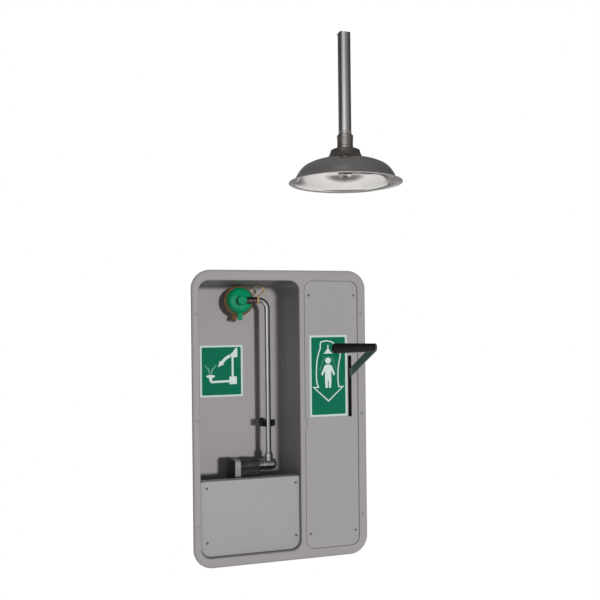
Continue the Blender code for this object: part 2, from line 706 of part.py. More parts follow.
def make_riser():
    at = Vector((RISER_X, RISER_Y, 0))
    tee, valve = top(TEE_Z), top(SHOWER_PIVOT_Z)
    up = Vector((0, 0, 1))
    spans = (("inlet_pipe", top(INLET_END_Z), tee - 0.012), ("lower_riser", tee + 0.012, valve - 0.0205),
             ("upper_riser", valve + 0.0205, top(OVERHEAD_Z) - 0.034))
    for name, low, high in spans:
        node(name, sleeve(at + up * low, at + up * high, PIPE_R, PIPE_BORE, 20), GALVANISED)


def make_overhead():
    riser = Vector((RISER_X, RISER_Y, top(OVERHEAD_Z)))
    drop = Vector((SHOWER_X, SHOWER_Y, top(OVERHEAD_Z)))
    run = (drop - riser).normalized()
    down = Vector((0, 0, -1))
    bore = bore_round(PIPE_R, 12)
    elbow("riser_elbow", riser, down, run, FITTING_R, bore, GALVANISED)
    elbow("drop_elbow", drop, -run, down, FITTING_R, bore, GALVANISED)
    node("overhead_pipe", sleeve(riser + run * 0.034, drop - run * 0.034, PIPE_R, PIPE_BORE, 20), GALVANISED)
    bottom = Vector((SHOWER_X, SHOWER_Y, top(SHOWER_RIM) + 0.1080))
    node("drop_pipe", sleeve(bottom, drop + down * 0.034, PIPE_R, PIPE_BORE, 24), GALVANISED)


# --- shower valve and lever --------------------------------------------------------------------

def make_shower_valve():
    z = top(SHOWER_PIVOT_Z)
    at = (RISER_X, RISER_Y, z)
    bore = bore_round(PIPE_R)
    profile = [(FITTING_R, -0.047), (FITTING_R, -0.030), (0.0275, -0.024), (0.0275, 0.024),
               (FITTING_R, 0.030), (FITTING_R, 0.047), (bore, 0.047), (bore, -0.047)]
    body = node("shower_valve_body", revolve(at, (0, 0, 1), profile, 24, closed=True), BRASS)
    join(body, rod((RISER_X + 0.022, RISER_Y, z), (RISER_X + 0.0420, RISER_Y, z), 0.0120, 16), "tool_stem_boss")
    cut(body, rod((RISER_X + 0.010, RISER_Y, z), (RISER_X + 0.06, RISER_Y, z), STEM_R + 0.0006), "tool_stem_bore")


def make_valve_internals():
    z = top(SHOWER_PIVOT_Z)
    profile = [(BALL_R * math.sin(a), -BALL_R * math.cos(a))
               for a in [math.radians(38 + 104 * k / 6) for k in range(7)]]
    low = profile[0][0] * 0.88
    ring = profile + [(low, profile[-1][1]), (low, profile[0][1])]
    node("shower_ball", revolve((RISER_X, RISER_Y, z), (0, 0, 1), ring, 16, closed=True), CHROME)
    node("valve_stem", rod((RISER_X + BALL_R + 0.0005, RISER_Y, z), (LEVER_X + 0.0135, RISER_Y, z), STEM_R), BRASS)


def lever_direction():
    """Unit vector from the stem to the grip, in the lever's plane."""
    return Vector((0, GRIP_Y - RISER_Y, GRIP_Z - SHOWER_PIVOT_Z)).normalized()


def make_lever():
    pivot = Vector((0, RISER_Y, top(SHOWER_PIVOT_Z)))
    tip = Vector((0, GRIP_Y, top(GRIP_Z)))
    along = lever_direction()
    across = Vector((0, -along.z, along.y))
    outline = []
    for centre, direction in ((pivot, -along), (tip, along)):
        side = across if direction == along else -across
        for k in range(9):
            a = math.pi * k / 8
            outline.append(centre + (side * -math.cos(a) + direction * math.sin(a)) * LEVER_W / 2)
    x0, x1 = LEVER_X - LEVER_T / 2, LEVER_X + LEVER_T / 2
    ease = 0.0008
    rings = []
    for x, shrink in ((x0, ease), (x0 + ease, 0.0), (x1 - ease, 0.0), (x1, ease)):
        ring = []
        for p in outline:
            anchor = pivot if (p - pivot).length < (p - tip).length else tip
            q = anchor + (p - anchor) * (1 - shrink / (LEVER_W / 2))
            ring.append(Vector((x, q.y, q.z)))
        rings.append(ring)
    arm = node("lever_arm", loft(rings), LEVER_GREY)
    cut(arm, rod((x0 - 0.01, pivot.y, pivot.z), (x1 + 0.01, pivot.y, pivot.z), STEM_R + 0.0004), "tool_lever_eye")
    nut = [(0.0085, 0.0), (0.0085, 0.006), (bore_round(STEM_R, 6), 0.006), (bore_round(STEM_R, 6), 0.0)]
    node("lever_nut", revolve((x1 + GAP, pivot.y, pivot.z), (1, 0, 0), nut, 6, closed=True), SCREW_STEEL)


def make_grip():
    at_z = top(GRIP_Z)
    x0, x1 = GRIP_X
    r0, r1 = GRIP_R
    hole = bore_round(GRIP_ROD_R)
    profile = [(r1 - 0.0015, x1), (r1, x1 - 0.0015), (r0, x0 + 0.012)]
    for k in range(1, 4):
        a = math.pi / 2 * k / 3.5
        profile.append((r0 * math.cos(a), x0 + 0.012 - 0.012 * math.sin(a)))
    profile += [(0.003, x0), (0.003, x0 + 0.006), (hole, x0 + 0.006), (hole, x1)]
    node("handle_grip", revolve((0, GRIP_Y, at_z), (1, 0, 0), profile, 24, closed=True), BLACK)
    rod_end = LEVER_X - LEVER_T / 2 - GAP
    node("grip_rod", rod((x0 + 0.0065, GRIP_Y, at_z), (rod_end, GRIP_Y, at_z), GRIP_ROD_R), SCREW_STEEL)


# --- shower head -------------------------------------------------------------------------------

def bowl_outside():
    """Bowl's outside, as (radius, height above the rim), from its top hole to its flared lip."""
    return [(0.0200, 0.0630), (0.0480, 0.0622), (0.0600, 0.0605), (0.0720, 0.0578), (0.0850, 0.0540),
            (0.0980, 0.0487), (0.1090, 0.0425), (0.1175, 0.0345), (0.1235, 0.0265), (0.1280, 0.0190),
            (0.1315, 0.0120), (0.1350, 0.0062), (0.1400, 0.0030), (0.1478, 0.0016)]


def make_shower_bowl():
    outside = bowl_outside()
    inside = []
    for i, (r, h) in enumerate(outside):
        a, b = outside[max(i - 1, 0)], outside[min(i + 1, len(outside) - 1)]
        tr, th = b[0] - a[0], b[1] - a[1]
        size = math.hypot(tr, th)
        inside.append((r + th / size * SHEET_T, h - tr / size * SHEET_T))
    inside[0] = (outside[0][0], outside[0][1] - SHEET_T)
    base = (SHOWER_X, SHOWER_Y, top(SHOWER_RIM))
    bowl = revolve(base, (0, 0, 1), outside + inside[::-1], 36, closed=True)
    node("shower_bowl", bowl, STAINLESS)


def make_shower_hub():
    base = (SHOWER_X, SHOWER_Y, top(SHOWER_RIM))
    outside = [(0.0186, 0.0240), (0.0196, 0.0480), (0.0196, 0.0634), (0.0530, 0.0634), (0.0495, 0.0650),
               (0.0440, 0.0700), (0.0400, 0.0780), (0.0378, 0.0850), (0.0345, 0.0875), (0.0166, 0.0875),
               (0.0166, 0.1060)]
    bore = [(0.0120, 0.1060), (0.0120, 0.0560)]
    hub = node("shower_hub", revolve(base, (0, 0, 1), outside + bore, 24), STAINLESS)
    for k in range(4):
        a = math.pi / 2 * (k + 0.5)
        x, y = base[0] + 0.0085 * math.cos(a), base[1] + 0.0085 * math.sin(a)
        cut(hub, rod((x, y, base[2] + 0.01), (x, y, base[2] + 0.06), 0.0032, 10), f"tool_hub_port_{k}")
    cut(hub, rod((base[0], base[1], base[2] + 0.01), (base[0], base[1], base[2] + 0.0535), 0.0033, 12),
        "tool_hub_thread")
    ring = [(0.0205, 0.0880), (0.0212, 0.0895), (0.0212, 0.1235), (0.0205, 0.1250),
            (bore_round(PIPE_R), 0.1250), (bore_round(PIPE_R), 0.0880)]
    node("shower_coupling", revolve(base, (0, 0, 1), ring, 24, closed=True), GALVANISED)
    dish = [(0.0036, 0.0185), (0.0185, 0.0210), (0.0192, 0.0200), (0.0185, 0.0190), (0.0036, 0.0165)]
    node("shower_deflector", revolve(base, (0, 0, 1), dish, 20, closed=True), STAINLESS)
    bolt = [(0.0060, 0.0105), (0.0065, 0.0115), (0.0065, 0.0160), (0.0029, 0.0160), (0.0029, 0.0525)]
    node("deflector_bolt", revolve(base, (0, 0, 1), bolt, 12), SCREW_STEEL)


def main():
    clear_scene()
    make_cabinet_shell()
    make_shower_access_panel()
    make_valve_access_cover()
    make_screws()
    make_signs()
    make_valve_shelf()
    make_eyewash_valve()
    make_swivel_tee()
    make_arm()
    make_eyewash_head()
    make_dust_cover()
    make_tether()
    make_clip()
    make_eyewash_supply()
    make_riser()
    make_overhead()
    make_shower_valve()
    make_valve_internals()
    make_lever()
    make_grip()
    make_shower_bowl()
    make_shower_hub()


main()
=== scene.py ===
import math

import bmesh
import bpy
from mathutils import Matrix, Vector


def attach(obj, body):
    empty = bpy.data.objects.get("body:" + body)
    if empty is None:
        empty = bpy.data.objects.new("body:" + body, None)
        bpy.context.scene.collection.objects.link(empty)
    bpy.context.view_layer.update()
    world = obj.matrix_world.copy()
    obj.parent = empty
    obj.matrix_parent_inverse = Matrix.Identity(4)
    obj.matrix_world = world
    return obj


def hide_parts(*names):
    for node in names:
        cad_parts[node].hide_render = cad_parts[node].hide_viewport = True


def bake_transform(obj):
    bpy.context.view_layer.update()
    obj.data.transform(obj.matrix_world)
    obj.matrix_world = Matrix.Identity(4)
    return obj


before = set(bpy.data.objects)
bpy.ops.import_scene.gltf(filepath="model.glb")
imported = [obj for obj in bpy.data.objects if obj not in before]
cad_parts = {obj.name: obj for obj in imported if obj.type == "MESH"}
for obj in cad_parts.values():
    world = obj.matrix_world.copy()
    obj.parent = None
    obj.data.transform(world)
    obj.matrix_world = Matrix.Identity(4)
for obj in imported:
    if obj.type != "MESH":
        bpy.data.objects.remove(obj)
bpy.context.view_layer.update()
scene = bpy.context.scene

# Real measurements in metres. Heights given to top() are above the cabinet's top edge.
CABINET_TOP = 0.9755
CABINET = ((-0.305, 0.305), (-0.990, 0.0), 0.064)         # x, z, corner radius
FLANGE_T, FLANGE_ROUND = 0.012, (0.013, 0.009)             # thickness; width and height of its round edge
LIP_ROUND, SEAT_ROUND = 0.005, 0.0035
RECESS_X, RECESS_Z, RECESS_R = (-0.280, 0.063), (-0.957, -0.036), 0.034
RECESS_DEPTH, DRAFT_X, DRAFT_Z = 0.200, 0.070, 0.040
BACK_FILLET = (0.018, 0.045, 0.024)                       # left, right, top and bottom
CHAMBER_X, CHAMBER_Z, CHAMBER_R = (0.0815, 0.2740), (-0.9565, -0.0365), 0.030
CHAMBER_DEPTH, SEAT_DEPTH, SEAT_LEDGE = 0.118, 0.006, 0.012
WALL = 0.004
COVER_TOP, COVER_BACK, COVER_T, COVER_MARGIN, COVER_RETURN = -0.7050, 0.008, 0.002, 0.002, 0.030
COVER_SCREWS = ((-0.2577, 0.0482), (-0.728, -0.909))      # x, z
PANEL_Y = (-0.0092, -0.0063)
PIVOT_Y, PIVOT_Z = 0.100, -0.677
VALVE_X, VALVE_FOOT_Z = (-0.1277, -0.0593), -0.7165
ARM_X, ARM_R, ARM_BEND = -0.0232, 0.0097, 0.030
HEAD_X, HEAD_Z, HEAD_R, HEAD_MOUTH_Y = -0.114, -0.0985, 0.0515, 0.146
SHELL_R = 0.0465                                          # the shell inside the dust cover
CLIP_Z = -0.534
PIPE_R, FITTING_R = 0.0167, 0.0215
NIPPLE_R, SMALL_FITTING_R = 0.01065, 0.0155
RISER_X, RISER_Y, TEE_Z = 0.195, 0.030, -0.860
INLET_END_Z, OVERHEAD_Z = -0.995, 0.634
ELBOW_LEG, ELBOW_BEND = 0.045, 0.030
SHOWER_PIVOT_Z, LEVER_X, LEVER_T, LEVER_W = -0.373, 0.2445, 0.006, 0.027
GRIP_Y, GRIP_Z, GRIP_X, GRIP_R = -0.247, -0.2605, (0.102, 0.241), (0.0162, 0.0132)
SHOWER_X, SHOWER_Y, SHOWER_RIM, SHEET_T = 0.020, -0.616, 0.184, 0.0016
CEILING_Z = 0.575


def top(d):
    return CABINET_TOP + d


def tops(pair):
    return (top(pair[0]), top(pair[1]))


# --- materials ----------------------------------------------------------------------------------

class Look:
    """A material under construction: a Principled shader fed by object-space noise."""

    def __init__(self, name):
        self.mat = bpy.data.materials.new(name)
        self.mat.use_nodes = True
        self.tree = self.mat.node_tree
        self.shader = self.tree.nodes["Principled BSDF"]
        self.coords = self.tree.nodes.new("ShaderNodeTexCoord").outputs["Object"]

    def add(self, kind, **props):
        n = self.tree.nodes.new(kind)
        for key, value in props.items():
            setattr(n, key, value)
        return n

    def link(self, a, b):
        self.tree.links.new(a, b)

    def stretched(self, scale):
        n = self.add("ShaderNodeMapping")
        n.inputs["Scale"].default_value = scale
        self.link(self.coords, n.inputs["Vector"])
        return n.outputs["Vector"]

    def noise(self, scale, detail=4.0, coords=None):
        n = self.add("ShaderNodeTexNoise")
        n.inputs["Scale"].default_value = scale
        n.inputs["Detail"].default_value = detail
        n.inputs["Roughness"].default_value = 0.55
        self.link(coords or self.coords, n.inputs["Vector"])
        return n.outputs["Fac"]

    def cells(self, scale, output):
        n = self.add("ShaderNodeTexVoronoi")
        n.inputs["Scale"].default_value = scale
        self.link(self.coords, n.inputs["Vector"])
        return n.outputs[output]

    def remap(self, value, low, high, start=0.3, end=0.7):
        n = self.add("ShaderNodeMapRange")
        for key, v in (("From Min", start), ("From Max", end), ("To Min", low), ("To Max", high)):
            n.inputs[key].default_value = v
        self.link(value, n.inputs["Value"])
        return n.outputs["Result"]

    def mix(self, factor, a, b):
        n = self.add("ShaderNodeMix", data_type="RGBA")
        self.link(factor, n.inputs[0])
        for socket, v in ((n.inputs[6], a), (n.inputs[7], b)):
            if isinstance(v, tuple):
                socket.default_value = (*v, 1.0)
            else:
                self.link(v, socket)
        return n.outputs[2]

    def bump(self, height, strength, distance=0.0004, under=None):
        n = self.add("ShaderNodeBump")
        n.inputs["Strength"].default_value = strength
        n.inputs["Distance"].default_value = distance
        self.link(height, n.inputs["Height"])
        if under:
            self.link(under, n.inputs["Normal"])
        return n.outputs["Normal"]

    def to(self, socket, value):
        if hasattr(value, "is_output"):
            self.link(value, self.shader.inputs[socket])
        else:
            self.shader.inputs[socket].default_value = value


def shade(colour, factor):
    return tuple(min(c * factor, 1.0) for c in colour)


def surface(name, colour, rough, metal=0.0, vary=0.06, cloud=9.0, grain=1400.0, bump=0.10,
            rough_vary=0.06, stretch=(1, 1, 1), coat=0.0, specks=0.0, ior=1.5):
    """Cloudy colour, uneven gloss and a fine grain, stretched where the surface is brushed or drawn."""
    look = Look(name)
    lines = look.stretched(stretch)
    clouds = look.noise(cloud, 5.0)
    fine = look.noise(grain, 3.0, lines)
    base = look.mix(look.remap(clouds, 0.0, 1.0), shade(colour, 1 - vary), shade(colour, 1 + vary))
    if specks:
        dots = look.remap(look.noise(grain * 0.35, 2.0), 0.0, specks, 0.60, 0.74)
        base = look.mix(dots, base, shade(colour, 1.9))
    look.to("Base Color", base)
    worn = look.noise(cloud * 3.1, 4.0)
    gloss = look.add("ShaderNodeMath", operation="ADD")
    look.link(look.remap(worn, rough - rough_vary, rough + rough_vary), gloss.inputs[0])
    look.link(look.remap(fine, -rough_vary / 2, rough_vary / 2), gloss.inputs[1])
    look.to("Roughness", gloss.outputs[0])
    look.to("Metallic", metal)
    look.to("IOR", ior)
    look.to("Coat Weight", coat)
    look.to("Coat Roughness", 0.12)
    broad = look.bump(look.noise(cloud * 2.0, 3.0), bump * 0.4, 0.0010)
    look.to("Normal", look.bump(fine, bump, 0.0003, broad))
    return look


def galvanised(name, colour, rough=0.36):
    """Zinc coat: crystal spangle in tone and gloss over a slightly lumpy skin."""
    look = Look(name)
    spangle = look.cells(150.0, output="Color")
    grey = look.add("ShaderNodeSeparateColor")
    look.link(spangle, grey.inputs[0])
    tone = grey.outputs[0]
    base = look.mix(tone, shade(colour, 0.86), shade(colour, 1.10))
    base = look.mix(look.remap(look.noise(22.0, 5.0), 0.0, 0.35), base, shade(colour, 0.62))
    look.to("Base Color", base)
    look.to("Roughness", look.remap(tone, rough - 0.08, rough + 0.08, 0.0, 1.0))
    look.to("Metallic", 1.0)
    look.to("Normal", look.bump(look.noise(500.0, 4.0), 0.12))
    return look


def spun(name, colour, rough, centre, marks=0.10):
    """Polished sheet with the fine circular marks left by spinning it about a vertical axis."""
    look = Look(name)
    place = look.add("ShaderNodeMapping")
    place.inputs["Location"].default_value = (-centre[0], -centre[1], 0.0)
    look.link(look.coords, place.inputs["Vector"])
    parts = look.add("ShaderNodeSeparateXYZ")
    look.link(place.outputs["Vector"], parts.inputs[0])
    flat = look.add("ShaderNodeCombineXYZ")
    look.link(parts.outputs[0], flat.inputs[0])
    look.link(parts.outputs[1], flat.inputs[1])
    radius = look.add("ShaderNodeVectorMath", operation="LENGTH")
    look.link(flat.outputs[0], radius.inputs[0])
    rings = look.add("ShaderNodeCombineXYZ")
    look.link(radius.outputs["Value"], rings.inputs[0])
    look.link(parts.outputs[2], rings.inputs[2])
    fine = look.noise(1900.0, 2.0, rings.outputs[0])
    wide = look.noise(260.0, 3.0, rings.outputs[0])
    look.to("Base Color", look.mix(look.remap(wide, 0.0, 1.0), shade(colour, 0.93), shade(colour, 1.05)))
    look.to("Roughness", look.remap(wide, rough - 0.03, rough + 0.05))
    look.to("Metallic", 1.0)
    look.to("Normal", look.bump(fine, marks, 0.0002))
    return look


PLASTIC = surface("moulded_grey_plastic", (0.325, 0.310, 0.309), 0.46, vary=0.012, cloud=5.0, grain=1700.0,
                  bump=0.14, rough_vary=0.03, specks=0.05)
PANEL_PLASTIC = surface("panel_grey_plastic", (0.330, 0.318, 0.320), 0.48, vary=0.012, cloud=4.0,
                        grain=1600.0, bump=0.14, rough_vary=0.03, specks=0.05)
ALUMINIUM = surface("brushed_aluminium", (0.50, 0.505, 0.515), 0.52, 0.55, vary=0.02, cloud=6.0,
                    grain=2400.0,
                    bump=0.06, rough_vary=0.03, stretch=(0.02, 1, 1))
CHROME = surface("chrome_plate", (0.50, 0.49, 0.49), 0.13, 1.0, vary=0.03, cloud=30.0, bump=0.02,
                 rough_vary=0.03)
ZINC = galvanised("galvanised_steel", (0.52, 0.52, 0.51))
DULL_ZINC = galvanised("dull_zinc", (0.40, 0.39, 0.38), 0.42)
PIPE_STEEL = surface("drawn_stainless_pipe", (0.60, 0.59, 0.58), 0.24, 1.0, vary=0.06, cloud=12.0,
                     grain=2600.0, bump=0.05, stretch=(1, 1, 0.02))
CASTING = surface("dark_casting", (0.075, 0.082, 0.072), 0.42, 0.75, vary=0.22, cloud=40.0, grain=700.0,
                  bump=0.35, rough_vary=0.12)
CAST_PLATE = surface("cast_plate", (0.34, 0.335, 0.33), 0.48, 0.35, vary=0.15, cloud=50.0, grain=800.0,
                     bump=0.25)
BLACK = surface("black_rubber", (0.006, 0.005, 0.005), 0.50, vary=0.25, cloud=40.0, bump=0.12, ior=1.38)
BLACK_PLASTIC = surface("black_plastic", (0.008, 0.007, 0.007), 0.55, vary=0.2, cloud=30.0, bump=0.15,
                        ior=1.33)
GREEN = surface("green_plastic", (0.0, 0.245, 0.105), 0.36, vary=0.08, cloud=45.0, grain=1800.0, bump=0.08)
# Amber plastic darkened to dark brown: partly the cover's own colour, partly painted shade, so that the whole cover
# reads as the dark crescent beside the head.
AMBER_WITH_PAINTED_SHADE = surface("amber_plastic", (0.11, 0.050, 0.014), 0.34, vary=0.25, cloud=60.0, bump=0.06, coat=0.3)
STRAP = surface("amber_strap", (0.50, 0.33, 0.13), 0.35, vary=0.15, cloud=70.0, bump=0.10)
LEVER = surface("lever_enamel", (0.085, 0.115, 0.112), 0.36, 0.30, vary=0.12, cloud=25.0, bump=0.10)
SCREW = surface("screw_steel", (0.33, 0.33, 0.33), 0.32, 1.0, vary=0.15, cloud=120.0, bump=0.08)
BRASS = surface("brass", (0.56, 0.40, 0.17), 0.30, 1.0, vary=0.12, cloud=50.0, bump=0.10)
VINYL = surface("green_sign_vinyl", (0.001, 0.132, 0.072), 0.50, vary=0.02, cloud=14.0, grain=900.0,
                bump=0.03,
                rough_vary=0.02, ior=1.38)
MINT = surface("pale_sign_vinyl", (0.52, 0.63, 0.60), 0.50, vary=0.02, cloud=30.0, grain=900.0, bump=0.04)
WHITE = surface("white_sign_print", (0.60, 0.70, 0.69), 0.45, vary=0.03, cloud=40.0, grain=900.0, bump=0.05)
SPRAY = surface("spray_sign_print", (0.14, 0.36, 0.28), 0.45, vary=0.05, cloud=40.0, grain=900.0, bump=0.05)
BOWL = spun("spun_stainless", (0.80, 0.77, 0.755), 0.09, (SHOWER_X, SHOWER_Y))
HUB = spun("cast_hub_steel", (0.40, 0.355, 0.335), 0.30, (SHOWER_X, SHOWER_Y), 0.2)


# --- shapes -------------------------------------------------------------------------------------

def loft(rings, closed=False):
    bm = bmesh.new()
    loops = [[bm.verts.new(p) for p in ring] for ring in rings]
    pairs = list(zip(loops, loops[1:]))
    if closed:
        pairs.append((loops[-1], loops[0]))
    for a, b in pairs:
        for i in range(len(a)):
            j = (i + 1) % len(a)
            bm.faces.new((a[i], a[j], b[j], b[i]))
    if not closed:
        bm.faces.new(loops[0])
        bm.faces.new(loops[-1])
    bmesh.ops.recalc_face_normals(bm, faces=bm.faces)
    return bm


def circle(centre, axis, radius, segs):
    axis = Vector(axis).normalized()
    side = axis.orthogonal().normalized()
    up = axis.cross(side)
    turns = [2 * math.pi * i / segs for i in range(segs)]
    return [Vector(centre) + radius * (math.cos(t) * side + math.sin(t) * up) for t in turns]


def soften(profile, size, closed=False, steps=3):
    """Round the corners of a profile, so that every turned edge catches the light."""
    pts = [Vector(p) for p in profile]
    out = []
    for i, p in enumerate(pts):
        if not closed and i in (0, len(pts) - 1):
            out.append(p)
            continue
        back, on = pts[i - 1] - p, pts[(i + 1) % len(pts)] - p
        reach = min(size, back.length * 0.45, on.length * 0.45)
        if reach < 1e-6 or back.angle(on) > math.radians(158):
            out.append(p)
            continue
        start, end = p + back.normalized() * reach, p + on.normalized() * reach
        for k in range(steps + 1):
            t = k / steps
            out.append(start.lerp(p, t).lerp(p.lerp(end, t), t))
    return [tuple(q) for q in out]


def revolve(origin, axis, profile, segs=56, closed=False, soft=0.0006):
    axis = Vector(axis).normalized()
    if soft:
        profile = soften(profile, soft, closed)
    return loft([circle(Vector(origin) + axis * h, axis, max(r, 1e-5), segs) for r, h in profile], closed)


def capped(profile):
    """Close a solid's profile down to its axis, so that its end edges are rounded too."""
    return [(0.0002, profile[0][1])] + list(profile) + [(0.0002, profile[-1][1])]


def rod(start, end, radius, segs=40, soft=0.0006):
    start, end = Vector(start), Vector(end)
    length = (end - start).length
    return revolve(start, end - start, capped([(radius, 0.0), (radius, length)]), segs, soft=soft)


def sleeve(start, end, radius, bore, segs=48, soft=0.0006):
    start, end = Vector(start), Vector(end)
    n = (end - start).length
    return revolve(start, end - start, [(radius, 0.0), (radius, n), (bore, n), (bore, 0.0)], segs, True,
                   soft)


def thread(start, end, radius, bore, pitch=0.0018, depth=0.0007, segs=48):
    """A threaded pipe end: a sleeve whose outside is cut in V grooves."""
    start, end = Vector(start), Vector(end)
    length = (end - start).length
    count = max(int(length / pitch), 1)
    outside = []
    for k in range(count):
        h = length * k / count
        outside += [(radius - depth, h), (radius, h + length / count * 0.5)]
    outside.append((radius - depth, length))
    return revolve(start, end - start, outside + [(bore, length), (bore, 0.0)], segs, True, 0.0001)


def bent_path(corners, bend, steps=14):
    pts = [Vector(corners[0])]
    for a, b, c in zip(corners, corners[1:], corners[2:]):
        a, b, c = Vector(a), Vector(b), Vector(c)
        into, out = (b - a).normalized(), (c - b).normalized()
        turn = into.angle(out)
        reach = bend * math.tan(turn / 2)
        axis = into.cross(out).normalized()
        begin = b - into * reach
        centre = begin + axis.cross(into) * bend
        for k in range(steps + 1):
            pts.append(centre + Matrix.Rotation(turn * k / steps, 3, axis) @ (begin - centre))
    pts.append(Vector(corners[-1]))
    return pts


def path_frames(path):
    tangents = [(path[min(i + 1, len(path) - 1)] - path[max(i - 1,
                                                            0)]).normalized() for i in range(len(path))]
    side = tangents[0].orthogonal().normalized()
    frames = []
    for t in tangents:
        side = (side - t * side.dot(t)).normalized()
        frames.append((t, side))
    return frames


def sweep(path, radius, bore, segs=48):
    def ring(p, f, r):
        up = f[0].cross(f[1])
        turns = [2 * math.pi * i / segs for i in range(segs)]
        return [p + r * (math.cos(a) * f[1] + math.sin(a) * up) for a in turns]

    frames = path_frames(path)
    outer = [ring(p, f, radius) for p, f in zip(path, frames)]
    inner = [ring(p, f, bore) for p, f in zip(path, frames)]
    return loft(outer + inner[::-1], closed=True)


def slab(x, y, z, edge=0.0008):
    """A block with rounded edges."""
    bm = bmesh.new()
    size = (abs(x[1] - x[0]), abs(y[1] - y[0]), abs(z[1] - z[0]))
    centre = (sum(x) / 2, sum(y) / 2, sum(z) / 2)
    bmesh.ops.create_cube(bm, size=1.0, matrix=Matrix.Translation(centre) @ Matrix.Diagonal((*size, 1.0)))
    if edge:
        bmesh.ops.bevel(bm, geom=bm.edges[:], offset=min(edge, min(size) * 0.45), segments=3,
                        profile=0.5, affect="EDGES")
    return bm


def rounded_rect(x, z, radius, steps=14):
    pts = []
    centres = ((x[1] - radius, z[1] - radius), (x[0] + radius, z[1] - radius),
               (x[0] + radius, z[0] + radius), (x[1] - radius, z[0] + radius))
    for quarter, (cx, cz) in enumerate(centres):
        for k in range(steps + 1):
            a = math.pi / 2 * (quarter + k / steps)
            pts.append((cx + radius * math.cos(a), cz + radius * math.sin(a)))
    return pts


def rect_ring(x, z, radius, y, inset_x=0.0, inset_z=0.0, steps=14, inset_right=None):
    xs = (x[0] + inset_x, x[1] - (inset_x if inset_right is None else inset_right))
    zs = (z[0] + inset_z, z[1] - inset_z)
    corner = max(radius - max(inset_x, inset_z), 0.003)
    return [Vector((px, y, pz)) for px, pz in rounded_rect(xs, zs, corner, steps)]


def plate(x, z, radius, y, edge=0.0006, steps=14):
    """A flat rounded plate from its front y[0] to its back y[1], with its front edge rounded."""
    rings = [rect_ring(x, z, radius, y[1], steps=steps)]
    for k in range(5):
        a = math.pi / 2 * k / 4
        inset = edge * (1 - math.cos(a))
        rings.append(rect_ring(x, z, radius, y[0] + edge * (1 - math.sin(a)), inset, inset, steps=steps))
    return loft(rings)


def carve(bm, *changes):
    """Unite or subtract closed solids; each change is (operation, bmesh)."""
    obs = []
    for part in [bm] + [c[1] for c in changes]:
        mesh = bpy.data.meshes.new("part")
        part.to_mesh(mesh)
        part.free()
        ob = bpy.data.objects.new("part", mesh)
        scene.collection.objects.link(ob)
        obs.append(ob)
    for ob, (operation, _) in zip(obs[1:], changes):
        mod = obs[0].modifiers.new("carve", "BOOLEAN")
        mod.operation, mod.solver, mod.object = operation, "EXACT", ob
    bpy.context.view_layer.update()
    mesh = bpy.data.meshes.new_from_object(obs[0].evaluated_get(bpy.context.evaluated_depsgraph_get()))
    result = bmesh.new()
    result.from_mesh(mesh)
    for ob in obs:
        data = ob.data
        bpy.data.objects.remove(ob, do_unlink=True)
        bpy.data.meshes.remove(data)
    bpy.data.meshes.remove(mesh)
    return result


def piece(name, parts, look, body, cad, slot, sharp=32.0):
    """One shown piece from one or more closed solids; each part is a bmesh or (bmesh, look)."""
    mesh = bpy.data.meshes.new(name)
    whole = bmesh.new()
    looks = []
    for part in parts if isinstance(parts, list) else [parts]:
        bm, own = part if isinstance(part, tuple) else (part, look)
        if own not in looks:
            looks.append(own)
        for f in bm.faces:
            f.material_index = looks.index(own)
        bm.to_mesh(mesh)
        bm.free()
        whole.from_mesh(mesh)
    whole.to_mesh(mesh)
    whole.free()
    for own in looks:
        mesh.materials.append(own.mat)
    mesh.shade_smooth()
    mesh.set_sharp_from_angle(angle=math.radians(sharp))
    ob = bpy.data.objects.new(name, mesh)
    scene.collection.objects.link(ob)
    smooth = ob.modifiers.new("normals", "WEIGHTED_NORMAL")
    smooth.keep_sharp = True
    if body:
        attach(ob, body)
    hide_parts(*([cad] if isinstance(cad, str) else cad))
    return ob


# --- cabinet ------------------------------------------------------------------------------------

def tub_sections(depth, extra=0.0):
    """(y, inset on the left, on the right, at top and bottom) down a drafted, filleted tub."""
    fillets = [f + extra for f in BACK_FILLET]
    straight = depth - max(fillets)
    shares = [1 - math.sin(math.pi / 2 * k / 14) for k in range(15)]
    sections = []
    for y in [0.0, 0.008] + [depth - max(fillets) * f for f in shares]:
        turned = []
        for fillet in fillets:
            climbed = max(y - (depth - fillet), 0.0)
            turned.append(fillet - math.sqrt(max(fillet ** 2 - climbed ** 2, 0.0)))
        draft = min(y, straight)
        sections.append((y, DRAFT_X * draft + turned[0], DRAFT_X * draft + turned[1],
                         DRAFT_Z * draft + turned[2]))
    return sections


def tub_ring(x, z, radius, section):
    y, left, right, high = section
    return rect_ring(x, z, radius, y, left, high, inset_right=right)


def lip_rings(x, z, radius, size, steps=6):
    """Rings down the rounded edge where a cavity opens through the flange's face."""
    rings = [rect_ring(x, z, radius, -FLANGE_T - 0.002, -size, -size)]
    for k in range(steps + 1):
        a = math.pi / 2 * k / steps
        inset = -size * (1 - math.sin(a))
        rings.append(rect_ring(x, z, radius, -FLANGE_T + size * (1 - math.cos(a)), inset, inset))
    return rings


